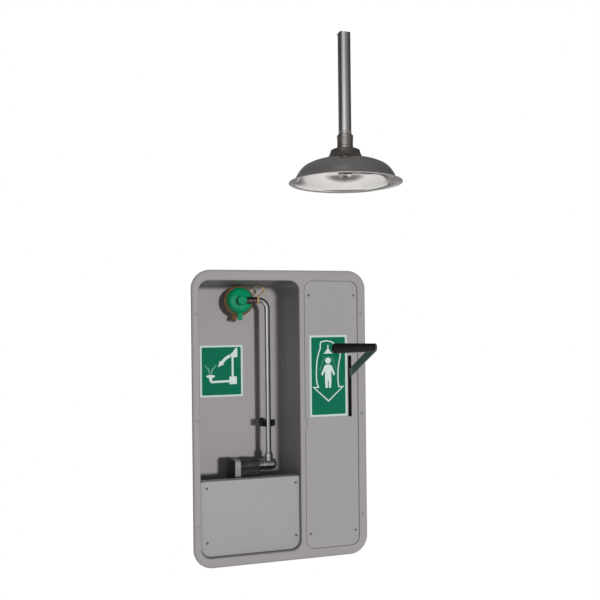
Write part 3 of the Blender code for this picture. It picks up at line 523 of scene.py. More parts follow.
def make_cabinet():
    x, z, corner = CABINET[0], tops(CABINET[1]), CABINET[2]
    wide, high = FLANGE_ROUND
    rings = [rect_ring(x, z, corner, 0.0, steps=24)]
    for k in range(13):
        a = math.pi / 2 * k / 12
        inset = wide * (1 - math.cos(a))
        rings.append(rect_ring(x, z, corner, high - FLANGE_T - high * math.sin(a), inset, inset, steps=24))
    flange = loft(rings)
    rx, rz = RECESS_X, tops(RECESS_Z)
    cavity = lip_rings(rx, rz, RECESS_R, LIP_ROUND)
    cavity += [tub_ring(rx, rz, RECESS_R, section) for section in tub_sections(RECESS_DEPTH)]
    ox, oz = (rx[0] - WALL, rx[1] + WALL), (rz[0] - WALL, rz[1] + WALL)
    tub = [rect_ring(ox, oz, RECESS_R + WALL, -0.001)]
    tub += [tub_ring(ox, oz, RECESS_R + WALL, section) for section in tub_sections(RECESS_DEPTH + WALL,
                                                            WALL)]
    cx, cz = CHAMBER_X, tops(CHAMBER_Z)
    seat = -FLANGE_T + SEAT_DEPTH
    hollow = lip_rings(cx, cz, CHAMBER_R, SEAT_ROUND)
    hollow += [rect_ring(cx, cz, CHAMBER_R, seat),
               rect_ring(cx, cz, CHAMBER_R, seat, SEAT_LEDGE, SEAT_LEDGE),
               rect_ring(cx, cz, CHAMBER_R, CHAMBER_DEPTH, SEAT_LEDGE, SEAT_LEDGE)]
    inner = SEAT_LEDGE - WALL
    box = [rect_ring(cx, cz, CHAMBER_R, -0.001, inner, inner)]
    for k in range(6):
        a = math.pi / 2 * k / 5
        inset = inner + 0.004 * (1 - math.cos(a))
        box.append(rect_ring(cx, cz, CHAMBER_R, CHAMBER_DEPTH + 0.004 * math.sin(a), inset, inset))
    start = Vector(((VALVE_X[0] + VALVE_X[1]) / 2, PIVOT_Y, top(TEE_Z)))
    end = Vector((RISER_X, RISER_Y, top(TEE_Z)))
    run = (end - start).normalized()
    changes = [("UNION", loft(tub)), ("UNION", loft(box)), ("DIFFERENCE", loft(cavity)),
               ("DIFFERENCE", loft(hollow)),
               ("DIFFERENCE", rod((RISER_X, RISER_Y, top(-1.1)), (RISER_X, RISER_Y, top(0.1)),
                                  PIPE_R + 0.002)),
               ("DIFFERENCE", rod(start + run * 0.08, end - run * 0.03, NIPPLE_R + 0.003))]
    for i, sx in enumerate(COVER_SCREWS[0]):
        edge = rx[i] + (-0.003, 0.003)[i]
        tip = sx + (0.011, -0.011)[i]
        for d in COVER_SCREWS[1]:
            lug = slab(sorted((edge, tip)), (COVER_BACK + 0.0003, COVER_BACK + 0.0043),
                       (top(d) - 0.012, top(d) + 0.012))
            changes.append(("UNION", lug))
    piece("cabinet_moulding", carve(flange, *changes), PLASTIC, "root", "cabinet_shell", "grey_plastic", 30)


def make_panel():
    x = (CHAMBER_X[0] + 0.001, CHAMBER_X[1] - 0.001)
    z = (top(CHAMBER_Z[0]) + 0.001, top(CHAMBER_Z[1]) - 0.001)
    y = (-0.03, 0.02)
    panel = carve(plate(x, z, CHAMBER_R - 0.001, PANEL_Y, 0.0009),
                  ("DIFFERENCE", plate((LEVER_X - 0.0065, LEVER_X + 0.0065), tops((-0.5085, -0.2955)),
                                       0.004, y, 0)),
                  ("DIFFERENCE", plate((x[0] - 0.01, x[0] + 0.006), tops((-0.547, -0.506)), 0.004, y, 0)))
    piece("access_panel", panel, PANEL_PLASTIC, "root", "shower_access_panel", "grey_plastic")


def make_cover():
    x = (RECESS_X[0] + COVER_MARGIN, RECESS_X[1] - COVER_MARGIN)
    z = (top(RECESS_Z[0]) + COVER_MARGIN, top(RECESS_Z[0]) + 0.5)
    edge, t = top(COVER_TOP), COVER_T
    sheet = carve(plate(x, z, RECESS_R - COVER_MARGIN, (COVER_BACK - t, COVER_BACK), 0.0005),
                  ("DIFFERENCE", slab((-0.4, 0.4), (-0.1, 0.1), (edge - 0.0019, top(0.0)), 0)))
    # The top edge is folded back: a quarter round, then a return towards the back wall.
    profile = []
    for k in range(9):
        a = math.pi / 2 * k / 8
        profile.append((COVER_BACK - t + t * (1 - math.cos(a)), edge - t * (1 - math.sin(a))))
    profile += [(COVER_BACK + COVER_RETURN, edge), (COVER_BACK + COVER_RETURN, edge - t + 0.0002),
                (COVER_BACK, edge - t + 0.0002), (COVER_BACK - t, edge - t + 0.0002)]
    fold = loft([[Vector((px, py, pz)) for py, pz in profile] for px in (x[0] + 0.0035, x[1] - 0.0035)])
    piece("aluminium_cover", [sheet, fold], ALUMINIUM, "root", "valve_access_cover", "brushed_aluminium")


def pan_head(x, y, z, radius, height, look, cross=True):
    dome = [(0.0002, y + 0.012), (0.0018, y + 0.012), (0.0018, y - 0.0003), (radius, y - 0.0003)]
    for k in range(7):
        a = math.pi / 2 * k / 6.4
        dome.append((radius * math.cos(a), y - 0.0003 - height * (0.35 + 0.65 * math.sin(a))))
    head = revolve((x, 0, z), (0, 1, 0), dome, 28, soft=0.0002)
    if cross:
        front = y - height - 0.001
        arm, half = radius * 0.55, radius * 0.11
        head = carve(head, ("DIFFERENCE",
                            slab((x - arm, x + arm), (front, y - height * 0.45), (z - half, z + half), 0)),
                     ("DIFFERENCE", slab((x - half, x + half), (front, y - height * 0.45),
                                         (z - arm, z + arm), 0)))
    return (head, look)


def make_screws():
    spots = (("panel_screw", (0.097, 0.2605), (-0.086, -0.905), PANEL_Y[0]),
             ("cover_screw", *COVER_SCREWS, COVER_BACK - COVER_T))
    for name, xs, zs, y in spots:
        number = 0
        for sx in xs:
            for d in zs:
                number += 1
                washer = sleeve((sx, y - 0.0004, top(d)), (sx, y, top(d)), 0.0044, 0.002, 28, 0.0001)
                piece(f"{name}_head_{number}", [pan_head(sx, y, top(d), 0.0040, 0.0024, SCREW),
                                                (washer, SCREW)],
                      SCREW, "root", f"{name}_{number}", "screw_steel")
    number = 0
    for side in (-1, 1):
        for d in (-0.149, -0.499, -0.848):
            number += 1
            cap = pan_head(side * 0.287, -FLANGE_T, top(d), 0.0045, 0.0030, PLASTIC, cross=False)
            socket = pan_head(side * 0.287, -FLANGE_T - 0.0028, top(d), 0.0016, 0.0006, SCREW, cross=False)
            piece(f"flange_screw_cap_{number}", [cap, socket], PLASTIC, "root", f"flange_screw_{number}",
                  "grey_plastic")


def make_shelf():
    clear, front = 0.0012, COVER_BACK + 0.0035
    sections = [(front, DRAFT_X * front,
                 DRAFT_X * front)] + [sec[:3] for sec in tub_sections(RECESS_DEPTH)[2:11]]
    right = [(RECESS_X[1] - inset - clear, y) for y, _, inset in sections]
    left = [(RECESS_X[0] + inset + clear, y) for y, inset, _ in sections]
    z1 = top(-0.741) + 0.001
    rings = [[Vector((x, y, z)) for x, y in right + left[::-1]] for z in (z1 - 0.002, z1)]
    lip = slab((RECESS_X[0] + 0.004, RECESS_X[1] - 0.004), (front, front + 0.002),
               (z1 - 0.014, z1 + 0.0002), 0.0006)
    nx = (VALVE_X[0] + VALVE_X[1]) / 2
    floor = carve(loft(rings), ("DIFFERENCE",
                                rod((nx, PIVOT_Y, z1 - 0.01), (nx, PIVOT_Y, z1 + 0.01), NIPPLE_R + 0.002)))
    piece("tray_floor", [floor, lip], PLASTIC, "root", "valve_shelf", "grey_plastic")


# --- signs --------------------------------------------------------------------------------------

class Print:
    """Flat printed shapes on a sign, drawn in fractions of its green field."""

    def __init__(self, x, z, y):
        self.x, self.z, self.y = x, z, y
        self.parts = []

    def at(self, u, v):
        return (self.x[0] + u * (self.x[1] - self.x[0]), self.z[1] - v * (self.z[1] - self.z[0]))

    def fill(self, points, look, mapped=False):
        pts = points if mapped else [self.at(u, v) for u, v in points]
        height = 0.00022 + 0.00002 * len(self.parts)
        rings = [[Vector((px, y, pz)) for px, pz in pts] for y in (self.y + 0.0001, self.y - height)]
        self.parts.append((loft(rings), look))

    def disc(self, u, v, rx, rz, look, segs=32):
        cx, cz = self.at(u, v)
        turns = [2 * math.pi * i / segs for i in range(segs)]
        self.fill([(cx + rx * math.cos(a), cz + rz * math.sin(a)) for a in turns], look, True)

    def stroke(self, points, width, look, closed=False):
        """A line of even width with mitred corners."""
        pts = [Vector(self.at(u, v)) for u, v in points]
        left, right = [], []
        n = len(pts)
        for i, p in enumerate(pts):
            before = pts[i - 1] if closed or i else None
            after = pts[(i + 1) % n] if closed or i < n - 1 else None
            a = (p - before).normalized() if before else (after - p).normalized()
            b = (after - p).normalized() if after else a
            across = Vector((-(a + b).y, (a + b).x)).normalized()
            reach = width / 2 / max(across.dot(Vector((-a.y, a.x))), 0.45)
            left.append(p + across * reach)
            right.append(p - across * reach)
        if not closed:
            self.fill([tuple(q) for q in left + right[::-1]], look, True)
            return
        for i in range(n):
            j = (i + 1) % n
            self.fill([tuple(q) for q in (left[i], left[j], right[j], right[i])], look, True)


def curve(points, steps=6):
    """A smooth line through the points."""
    pts = [Vector(p) for p in points]
    pts = [pts[0] * 2 - pts[1]] + pts + [pts[-1] * 2 - pts[-2]]
    out = []
    for a, b, c, d in zip(pts, pts[1:], pts[2:], pts[3:]):
        for k in range(steps):
            t = k / steps
            out.append(0.5 * (2 * b + (c - a) * t + (2 * a - 5 * b + 4 * c - d) * t * t
                              + (3 * b - a - 3 * c + d) * t ** 3))
    out.append(pts[-2])
    return [tuple(q) for q in out]


def sign_base(x, z, y_back, thick=0.0012, border=0.0070):
    y = (y_back - thick, y_back)
    base = plate(x, z, 0.003, y, 0.0003, 6)
    field_x, field_z = (x[0] + border, x[1] - border), (z[0] + border, z[1] - border)
    field = plate(field_x, field_z, 0.0035, (y[0] - 0.00015, y[0] + 0.0002), 0.0001, 6)
    return [(base, MINT), (field, VINYL)], Print(field_x, field_z, y[0] - 0.00015)


def make_eyewash_sign():
    parts, p = sign_base((-0.2488, -0.0925), tops((-0.444, -0.258)), RECESS_DEPTH - 0.0003)
    p.fill([(0.70, 0.62), (0.89, 0.62), (0.89, 0.78), (0.70, 0.78)], WHITE)
    p.stroke([(0.785, 0.63), (0.785, 0.20)], 0.0072, WHITE)
    p.fill([(0.745, 0.20), (0.72, 0.155), (0.80, 0.10), (0.86, 0.02), (0.91, 0.02), (0.91, 0.21),
            (0.84, 0.22)], WHITE)
    arrow = curve([(0.72, 0.185), (0.63, 0.225), (0.55, 0.285), (0.49, 0.35)])
    p.stroke(arrow, 0.0105, WHITE)
    p.fill([(0.565, 0.360), (0.455, 0.285), (0.410, 0.415)], WHITE)
    p.stroke([(0.72, 0.715), (0.22, 0.725)], 0.0080, WHITE)
    p.disc(0.22, 0.605, 0.0155, 0.0058, WHITE)
    p.fill([(0.17, 0.62), (0.27, 0.62), (0.245, 0.71), (0.195, 0.71)], WHITE)
    p.stroke(curve([(0.20, 0.55), (0.155, 0.46), (0.075, 0.375)]), 0.0030, SPRAY)
    p.stroke(curve([(0.24, 0.55), (0.285, 0.46), (0.365, 0.375)]), 0.0030, SPRAY)
    p.stroke(curve([(0.21, 0.545), (0.185, 0.47), (0.15, 0.42)]), 0.0022, SPRAY)
    p.stroke(curve([(0.23, 0.545), (0.255, 0.47), (0.29, 0.42)]), 0.0022, SPRAY)
    piece("eyewash_sign_print", parts + p.parts, VINYL, "root", "eyewash_sign", "sign_green")


def make_shower_sign():
    parts, p = sign_base((0.098, 0.2345), tops((-0.5045, -0.2235)), PANEL_Y[0] - 0.0003)
    left = [(0.28, 0.06), (0.262, 0.10), (0.262, 0.14), (0.215, 0.20), (0.165, 0.30), (0.142, 0.42),
            (0.142, 0.52),
            (0.155, 0.59), (0.20, 0.645)]
    right = [(0.80, 0.645), (0.785, 0.59), (0.775, 0.52), (0.785, 0.42), (0.815, 0.32), (0.85, 0.24),
             (0.835, 0.19),
             (0.75, 0.13), (0.66, 0.085), (0.60, 0.06)]
    outline = curve(left, 3) + [(0.055, 0.645), (0.49, 0.825), (0.925, 0.645)] + curve(right,
                                                            3) + [(0.44, 0.045)]
    p.stroke(outline, 0.0042, WHITE, closed=True)
    p.fill(curve([(0.485, 0.15), (0.52, 0.155), (0.555, 0.185), (0.625, 0.212)], 4)
           + curve([(0.345, 0.212), (0.415, 0.185), (0.45, 0.155), (0.485, 0.15)], 4)[:-1], WHITE)
    p.stroke([(0.485, 0.10), (0.485, 0.155)], 0.0040, WHITE)
    for u, v, w in ((0.37, 0.25, 0.30), (0.60, 0.25, 0.30), (0.325, 0.30, 0.36), (0.645, 0.30, 0.36),
                    (0.27, 0.37, 0.42), (0.70, 0.37, 0.42)):
        p.stroke([(u, v), (u + (u - 0.485) * 0.12, w)], 0.0020, SPRAY)
    p.disc(0.485, 0.302, 0.0105, 0.0108, WHITE)
    p.fill([(0.415, 0.355), (0.555, 0.355), (0.60, 0.375), (0.69, 0.475), (0.655, 0.50), (0.575, 0.43),
            (0.58, 0.56),
            (0.565, 0.655), (0.50, 0.655), (0.497, 0.56), (0.473, 0.56), (0.47, 0.655), (0.405, 0.655),
            (0.39, 0.56),
            (0.395, 0.43), (0.315, 0.50), (0.28, 0.475), (0.37, 0.375)], WHITE)
    piece("shower_sign_print", parts + p.parts, VINYL, "root", "shower_sign", "sign_green")


# --- eyewash ------------------------------------------------------------------------------------

def make_eyewash_valve():
    z, foot = top(PIVOT_Z), top(VALVE_FOOT_Z)
    x0, x1 = VALVE_X
    n = x1 - x0
    barrel = [(0.0215, 0.0), (0.0215, 0.006), (0.0205, 0.008), (0.0205, 0.030), (0.0218, 0.033),
              (0.0218, n - 0.014),
              (0.0200, n - 0.012), (0.0200, n - 0.008), (0.0215, n - 0.006), (0.0215, n - 0.0015),
              (0.0195, n)]
    bore = [(0.0123, n), (0.0123, 0.018)]
    solid = revolve((x0, PIVOT_Y, z), (1, 0, 0), [(0.0002, 0.0)] + barrel + bore + [(0.0002, 0.018)], 64)
    parts = [solid,
             slab((x0 + 0.0015, x1 - 0.0015), (PIVOT_Y - 0.0205, PIVOT_Y + 0.0205),
                  (foot + 0.006, z - 0.010), 0.002),
             slab((x0 + 0.0005, x1 - 0.0005), (PIVOT_Y - 0.0215, PIVOT_Y + 0.0215), (foot, foot + 0.0075),
                  0.0012)]
    for sx in (x0 + 0.010, x1 - 0.010):
        for sy in (-0.0215, 0.0205):
            parts.append((rod((sx, PIVOT_Y + sy, foot + 0.015), (sx, PIVOT_Y + sy + 0.001, foot + 0.015),
                              0.0035, 6), SCREW))
    piece("valve_casting", parts, CASTING, "root", "eyewash_valve_body", "dark_casting")
    ys, zs = (PIVOT_Y - 0.028, PIVOT_Y + 0.028), (foot, z + 0.022)
    shapes = (("valve_flange_plate", (-0.1487, -0.1280), CAST_PLATE, "valve_flange", "galvanised_steel"),
              ("valve_cap_cover", (-0.1690, -0.1490), BLACK_PLASTIC, "valve_end_cap", "black_plastic"))
    for name, xs, look, cad, slot in shapes:
        rings = []
        stations = [(xs[0] + 0.0018 * (1 - math.sin(a)), 0.0018 * (1 - math.cos(a)))
                    for a in (math.pi / 2 * (1 - k / 4) for k in range(5))]
        for gx, inset in stations + [(sum(xs) - s, i) for s, i in stations[::-1]]:
            corners = rounded_rect((ys[0] + inset, ys[1] - inset), (zs[0] + inset, zs[1] - inset), 0.008, 8)
            rings.append([Vector((gx, py, pz)) for py, pz in corners])
        parts = [loft(rings)]
        if cad == "valve_flange":
            for gy in (-0.0205, 0.0205):
                for gz in (foot + 0.007, z + 0.015):
                    parts.append((rod((xs[0] + 0.001, PIVOT_Y + gy, gz), (xs[0] - 0.0002, PIVOT_Y + gy, gz),
                                      0.0036, 6), SCREW))
        else:
            for k in range(5):
                gx = xs[0] + 0.0034 + k * 0.0033
                parts.append(slab((gx - 0.0006, gx + 0.0006), (ys[0] - 0.0006, ys[1] + 0.0006),
                                  (zs[0] + 0.007, zs[1] - 0.007), 0.0005))
        piece(name, parts, look, "root", cad, slot)


def make_tee():
    z = top(PIVOT_Z)
    x0 = VALVE_X[1] + 0.0003
    n = 0.005 - x0
    end = [(0.0197 * math.cos(a), n - 0.014 + 0.014 * math.sin(a)) for a in (math.pi / 2 * k / 11 for k in range(11))]
    run = [(0.0002, 0.0), (0.0195, 0.0), (0.0205, 0.001), (0.0205, 0.0060), (0.0192, 0.0070),
           (0.0192, 0.0165),
           (0.0203, 0.0180), (0.0203, n - 0.017)] + end + [(0.0002, n)]
    at = (ARM_X, PIVOT_Y, z)
    branch = [(0.0002, 0.0), (0.0146, 0.0), (0.0146, 0.0245), (0.0152, 0.0255), (0.0152, 0.0340),
              (0.0140, 0.0370),
              (0.0098, 0.0370), (0.0098, 0.0210), (0.0002, 0.0210)]
    nut = [(0.0120, 0.0372), (0.0120, 0.0420), (0.0108, 0.0436), (0.0099, 0.0436), (0.0099, 0.0372)]
    piece("chrome_tee", [revolve((x0, PIVOT_Y, z), (1, 0, 0), run, 64), revolve(at, (0, 0, 1), branch, 56),
                         revolve(at, (0, 0, 1), nut, 48, True)], CHROME, "eyewash_arm", "swivel_tee",
                         "chrome")


def make_arm():
    z = top(HEAD_Z)
    corners = [(ARM_X, PIVOT_Y, top(PIVOT_Z) + 0.0212), (ARM_X, PIVOT_Y, z), (HEAD_X + 0.0072, PIVOT_Y, z)]
    piece("chrome_arm", sweep(bent_path(corners, ARM_BEND, 24), ARM_R, 0.0077, 56), CHROME, "eyewash_arm",
          "arm_pipe", "chrome")
    a, b = HEAD_X + 0.0165, HEAD_X + 0.053
    bore = 0.0099
    body = [(0.0112, 0.0), (0.0120, 0.0010), (0.0120, 0.0070), (0.0108, 0.0085), (0.0108, 0.0120),
            (0.0119, 0.0135),
            (0.0119, 0.0240), (0.0108, 0.0255), (0.0108, 0.0280), (0.0120, 0.0295), (0.0120, b - a - 0.001),
            (0.0110, b - a), (bore, b - a), (bore, 0.0)]
    piece("arm_union_nut", revolve((a, PIVOT_Y, z), (1, 0, 0), body, 48, True, 0.0003),
          surface("burnished_union", (0.20, 0.15, 0.13), 0.30, 1.0, vary=0.2, cloud=60.0, bump=0.08),
          "eyewash_arm", "arm_coupling", "chrome")


def head_profile(steps=18):
    """Outside of the head, as (radius, y), from its boss to its mouth."""
    corners = [(0.0160, 0.1125), (0.0235, 0.1145), (0.0335, 0.1180), (0.0410, 0.1235), (0.0450, 0.1305),
               (SHELL_R, 0.1380), (SHELL_R, HEAD_MOUTH_Y)]
    return curve(corners, steps // 6)


def make_head():
    z = top(HEAD_Z)
    at = (HEAD_X, 0, z)
    outer = head_profile()
    inner = [(max(r - 0.0025, 0.007), y + (0.0 if y > HEAD_MOUTH_Y - 0.0005 else 0.002)) for r,
             y in outer[::-1]]
    boss = [(0.0002, 0.0858), (0.0125, 0.0858), (0.0148, 0.0872), (0.0160, 0.0900)]
    shell = revolve(at, (0, 1, 0), boss + outer + inner + [(0.0002, 0.1140)], 72, soft=0.0004)
    shell = carve(shell, ("DIFFERENCE",
                          rod((HEAD_X + 0.0068, PIVOT_Y, z), (HEAD_X + 0.03, PIVOT_Y, z), 0.0099)))
    parts = [shell]
    step = [(0.0395, 0.1190), (0.0395, 0.1208), (0.0375, 0.1212), (0.0368, 0.1180), (0.0380, 0.1176)]
    parts.append(revolve(at, (0, 1, 0), step, 72, True, 0.0004))
    band = [(SHELL_R + 0.0004, 0.1355), (SHELL_R + 0.0004, 0.1375), (SHELL_R - 0.001, 0.1380),
            (SHELL_R - 0.001, 0.1350)]
    parts.append(revolve(at, (0, 1, 0), band, 72, True, 0.0003))
    for k in range(8):
        a = 2 * math.pi * (k + 0.5) / 8 + 0.1
        out, side = Vector((math.cos(a), 0, math.sin(a))), Vector((-math.sin(a), 0, math.cos(a)))
        rings = []
        for r, y in outer[1:-4]:
            base = Vector((HEAD_X, 0, z)) + out * r
            lift = 0.0011
            rings.append([base + side * 0.0010 + Vector((0, y + 0.001, 0)),
                          base + side * 0.0007 + Vector((0, y - lift, 0)),
                          base - side * 0.0007 + Vector((0, y - lift, 0)),
                          base - side * 0.0010 + Vector((0, y + 0.001, 0))])
        parts.append(loft(rings))
    parts.append(slab((HEAD_X - 0.0085, HEAD_X + 0.0085), (0.1290, 0.1385), (z - 0.070, z - 0.043), 0.0022))
    parts.append(slab((HEAD_X - 0.0055, HEAD_X + 0.0055), (0.1283, 0.1300), (z - 0.0665, z - 0.0560),
                      0.0008))
    parts.append(revolve((HEAD_X, PIVOT_Y, z), (1, 0, 0),
                         [(0.0140, 0.0105), (0.0140, 0.0158), (0.0100, 0.0158), (0.0100, 0.0105)], 48,
                         True))
    piece("eyewash_head", parts, GREEN, "eyewash_arm", "head_shell", "green_plastic")
    grid = [(0.0180, 0.0), (0.0438, 0.0), (0.0438, 0.0025), (0.0415, 0.0025), (0.0410, 0.0018),
            (0.0385, 0.0018),
            (0.0380, 0.0025), (0.0275, 0.0025), (0.0265, 0.0018), (0.0240, 0.0018), (0.0230, 0.0025),
            (0.0180, 0.0025)]
    holes = []
    for count, r, size in ((6, 0.0325, 0.0035), (18, 0.0398, 0.0010)):
        for k in range(count):
            a = 2 * math.pi * k / count
            spot = (HEAD_X + r * math.cos(a), z + r * math.sin(a))
            holes.append(("DIFFERENCE", rod((spot[0], 0.13, spot[1]), (spot[0], 0.15, spot[1]), size, 20,
                                            0)))
    disc = revolve((HEAD_X, 0.1385, z), (0, 1, 0), grid, 72, True, 0.0003)
    piece("outlet_grid", carve(disc, *holes), GREEN, "eyewash_arm", "outlet_plate", "green_plastic")


def make_dust_cover():
    z = top(HEAD_Z)
    r = SHELL_R + 0.0005
    cup = [(r + 0.0022, 0.1415), (r + 0.0022, 0.1475), (r - 0.0010, 0.1495), (0.0200, 0.1505),
           (0.0002, 0.1505),
           (0.0002, 0.1488), (0.0200, 0.1485), (r - 0.0025, 0.1472), (r, 0.1465), (r, 0.1415)]
    parts = [revolve((HEAD_X, 0, z), (0, 1, 0), cup, 72, True, 0.0005)]
    # A brim round the mouth, set a little off centre.
    brim = revolve((HEAD_X - 0.0018, 0, z - 0.0008), (0, 1, 0),
                   [(0.0002, 0.1402), (0.0515, 0.1402), (0.0528, 0.1396), (0.0535, 0.1406),
                    (0.0528, 0.1422),
                    (0.0002, 0.1422)], 72, soft=0.0003)
    parts.append(carve(brim, ("DIFFERENCE", rod((HEAD_X, 0.13, z), (HEAD_X, 0.15, z), r, 72, 0))))
    turn = Matrix.Translation((HEAD_X, 0, z)) @ Matrix.Rotation(math.radians(17), 4, "Y")
    for tab in (slab((-0.0085, 0.0085), (0.1415, 0.1440), (-0.071, -0.0525), 0.0010),
                slab((-0.0060, 0.0060), (0.1409, 0.1420), (-0.0690, -0.0665), 0.0004)):
        bmesh.ops.transform(tab, matrix=turn, verts=tab.verts)
        parts.append(tab)
    for rr in (0.018, 0.034):
        parts.append(revolve((HEAD_X, 0, z), (0, 1, 0),
                             [(rr, 0.1498), (rr + 0.0012, 0.1498), (rr + 0.0009, 0.1510),
                              (rr + 0.0003, 0.1510)], 64, True, 0.0002))
    # The cover's dark brown is partly its own amber and partly painted shade.
    piece("amber_cover", parts, AMBER_WITH_PAINTED_SHADE, "dust_cover", "dust_cover", "amber_plastic")


def make_tether():
    z = top(HEAD_Z)
    ring_x = -0.0602
    ring = [(0.0118, 0.0), (0.0125, 0.0012), (0.0125, 0.0048), (0.0118, 0.006), (0.0099, 0.006),
            (0.0099, 0.0)]
    ear = slab((ring_x + 0.0005, ring_x + 0.0055), (PIVOT_Y - 0.003, PIVOT_Y + 0.003),
               (z + 0.0110, z + 0.0135), 0.0006)
    piece("tether_collar", [revolve((ring_x, PIVOT_Y, z), (1, 0, 0), ring, 48, True, 0.0003), ear], STRAP,
          "eyewash_arm", "tether_ring", "amber_plastic")
    edge = HEAD_R + 0.0062
    a = math.radians(32)
    route = [(HEAD_X + (edge - 0.006) * math.cos(a), 0.1442, z + (edge - 0.006) * math.sin(a)),
             (HEAD_X + edge * math.cos(a), 0.1440, z + edge * math.sin(a)),
             (HEAD_X + 0.0555, 0.1400, z + 0.0455), (HEAD_X + 0.0680, 0.1300, z + 0.0515),
             (HEAD_X + 0.0820, 0.1200, z + 0.0455), (HEAD_X + 0.0800, 0.1090, z + 0.0310),
             (ring_x + 0.003, 0.1010, z + 0.0125)]
    path = [Vector(p) for p in curve(route, 8)]
    rings = []
    for p, (t, _) in zip(path, path_frames(path)):
        across = t.cross(Vector((0, 0, 1)).cross(t)).normalized()
        wide = t.cross(across).normalized()
        ring = []
        for k in range(12):
            b = 2 * math.pi * k / 12
            ring.append(p + wide * 0.0042 * math.copysign(abs(math.cos(b)) ** 0.5, math.cos(b))
                        + across * 0.0006 * math.copysign(abs(math.sin(b)) ** 0.5, math.sin(b)))
        rings.append(ring)
    strap = piece("tether_strap_curve", loft(rings), STRAP, None, "tether_strap", "amber_plastic", 60)
    tuple(path[6])
    tuple(path[-6])
    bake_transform(strap)


def make_clip():
    z = top(CLIP_Z)
    h = 0.0115
    back = PIVOT_Y + 0.0235
    parts = [slab((ARM_X - 0.0285, ARM_X + 0.0285), (PIVOT_Y + 0.0125, back), (z - h, z + h), 0.0020)]
    for side in (-1, 1):
        inner, outer = ARM_X + side * (ARM_R + 0.0006), ARM_X + side * (ARM_R + 0.0046)
        parts.append(slab(sorted((inner, outer)), (PIVOT_Y - 0.0060, PIVOT_Y + 0.0150), (z - h, z + h),
                          0.0014))
        parts.append(rod((ARM_X + side * 0.0215, PIVOT_Y + 0.0113, z),
                         (ARM_X + side * 0.0215, PIVOT_Y + 0.014, z), 0.0040, 6))
    piece("spring_clip", parts, BLACK_PLASTIC, "root", "pipe_clip", "black_plastic")
    wall = RECESS_DEPTH - 0.0003
    post = [(0.0002, wall), (0.0090, wall), (0.0090, wall - 0.004), (0.0060, wall - 0.007),
            (0.0056, back + 0.007),
            (0.0060, back + 0.0003), (0.0002, back + 0.0003)]
    piece("clip_post", revolve((ARM_X, 0, z), (0, 1, 0), post, 48), BLACK_PLASTIC, "root", "clip_bracket",
          "black_plastic")


# --- pipework -----------------------------------------------------------------------------------

def elbow(name, cad, corner, leg_a, leg_b, radius, bore, look, slot):
    """Threaded elbow: thinner round bend, with a bead at each mouth."""
    corner, leg_a, leg_b = Vector(corner), Vector(leg_a), Vector(leg_b)
    ends = [corner + leg_a * ELBOW_LEG, corner, corner + leg_b * ELBOW_LEG]
    parts = [sweep(bent_path(ends, ELBOW_BEND), radius * 0.94, bore)]
    for leg in (leg_a, leg_b):
        parts.append(sleeve(corner + leg * (ELBOW_LEG - 0.0125), corner + leg * ELBOW_LEG, radius, bore,
                            soft=0.0014))
    piece(name, parts, look, "root", cad, slot)


def pipe(name, cad, low, high, radius, bore, look, slot):
    """A straight pipe with a threaded stretch at each end."""
    low, high = Vector(low), Vector(high)
    along = (high - low).normalized()
    reach = 0.022
    a, b = low + along * reach, high - along * reach
    parts = [sleeve(a, b, radius, bore, 56), thread(low, a, radius, bore), thread(b, high, radius, bore)]
    piece(name, parts, look, "root", cad, slot)


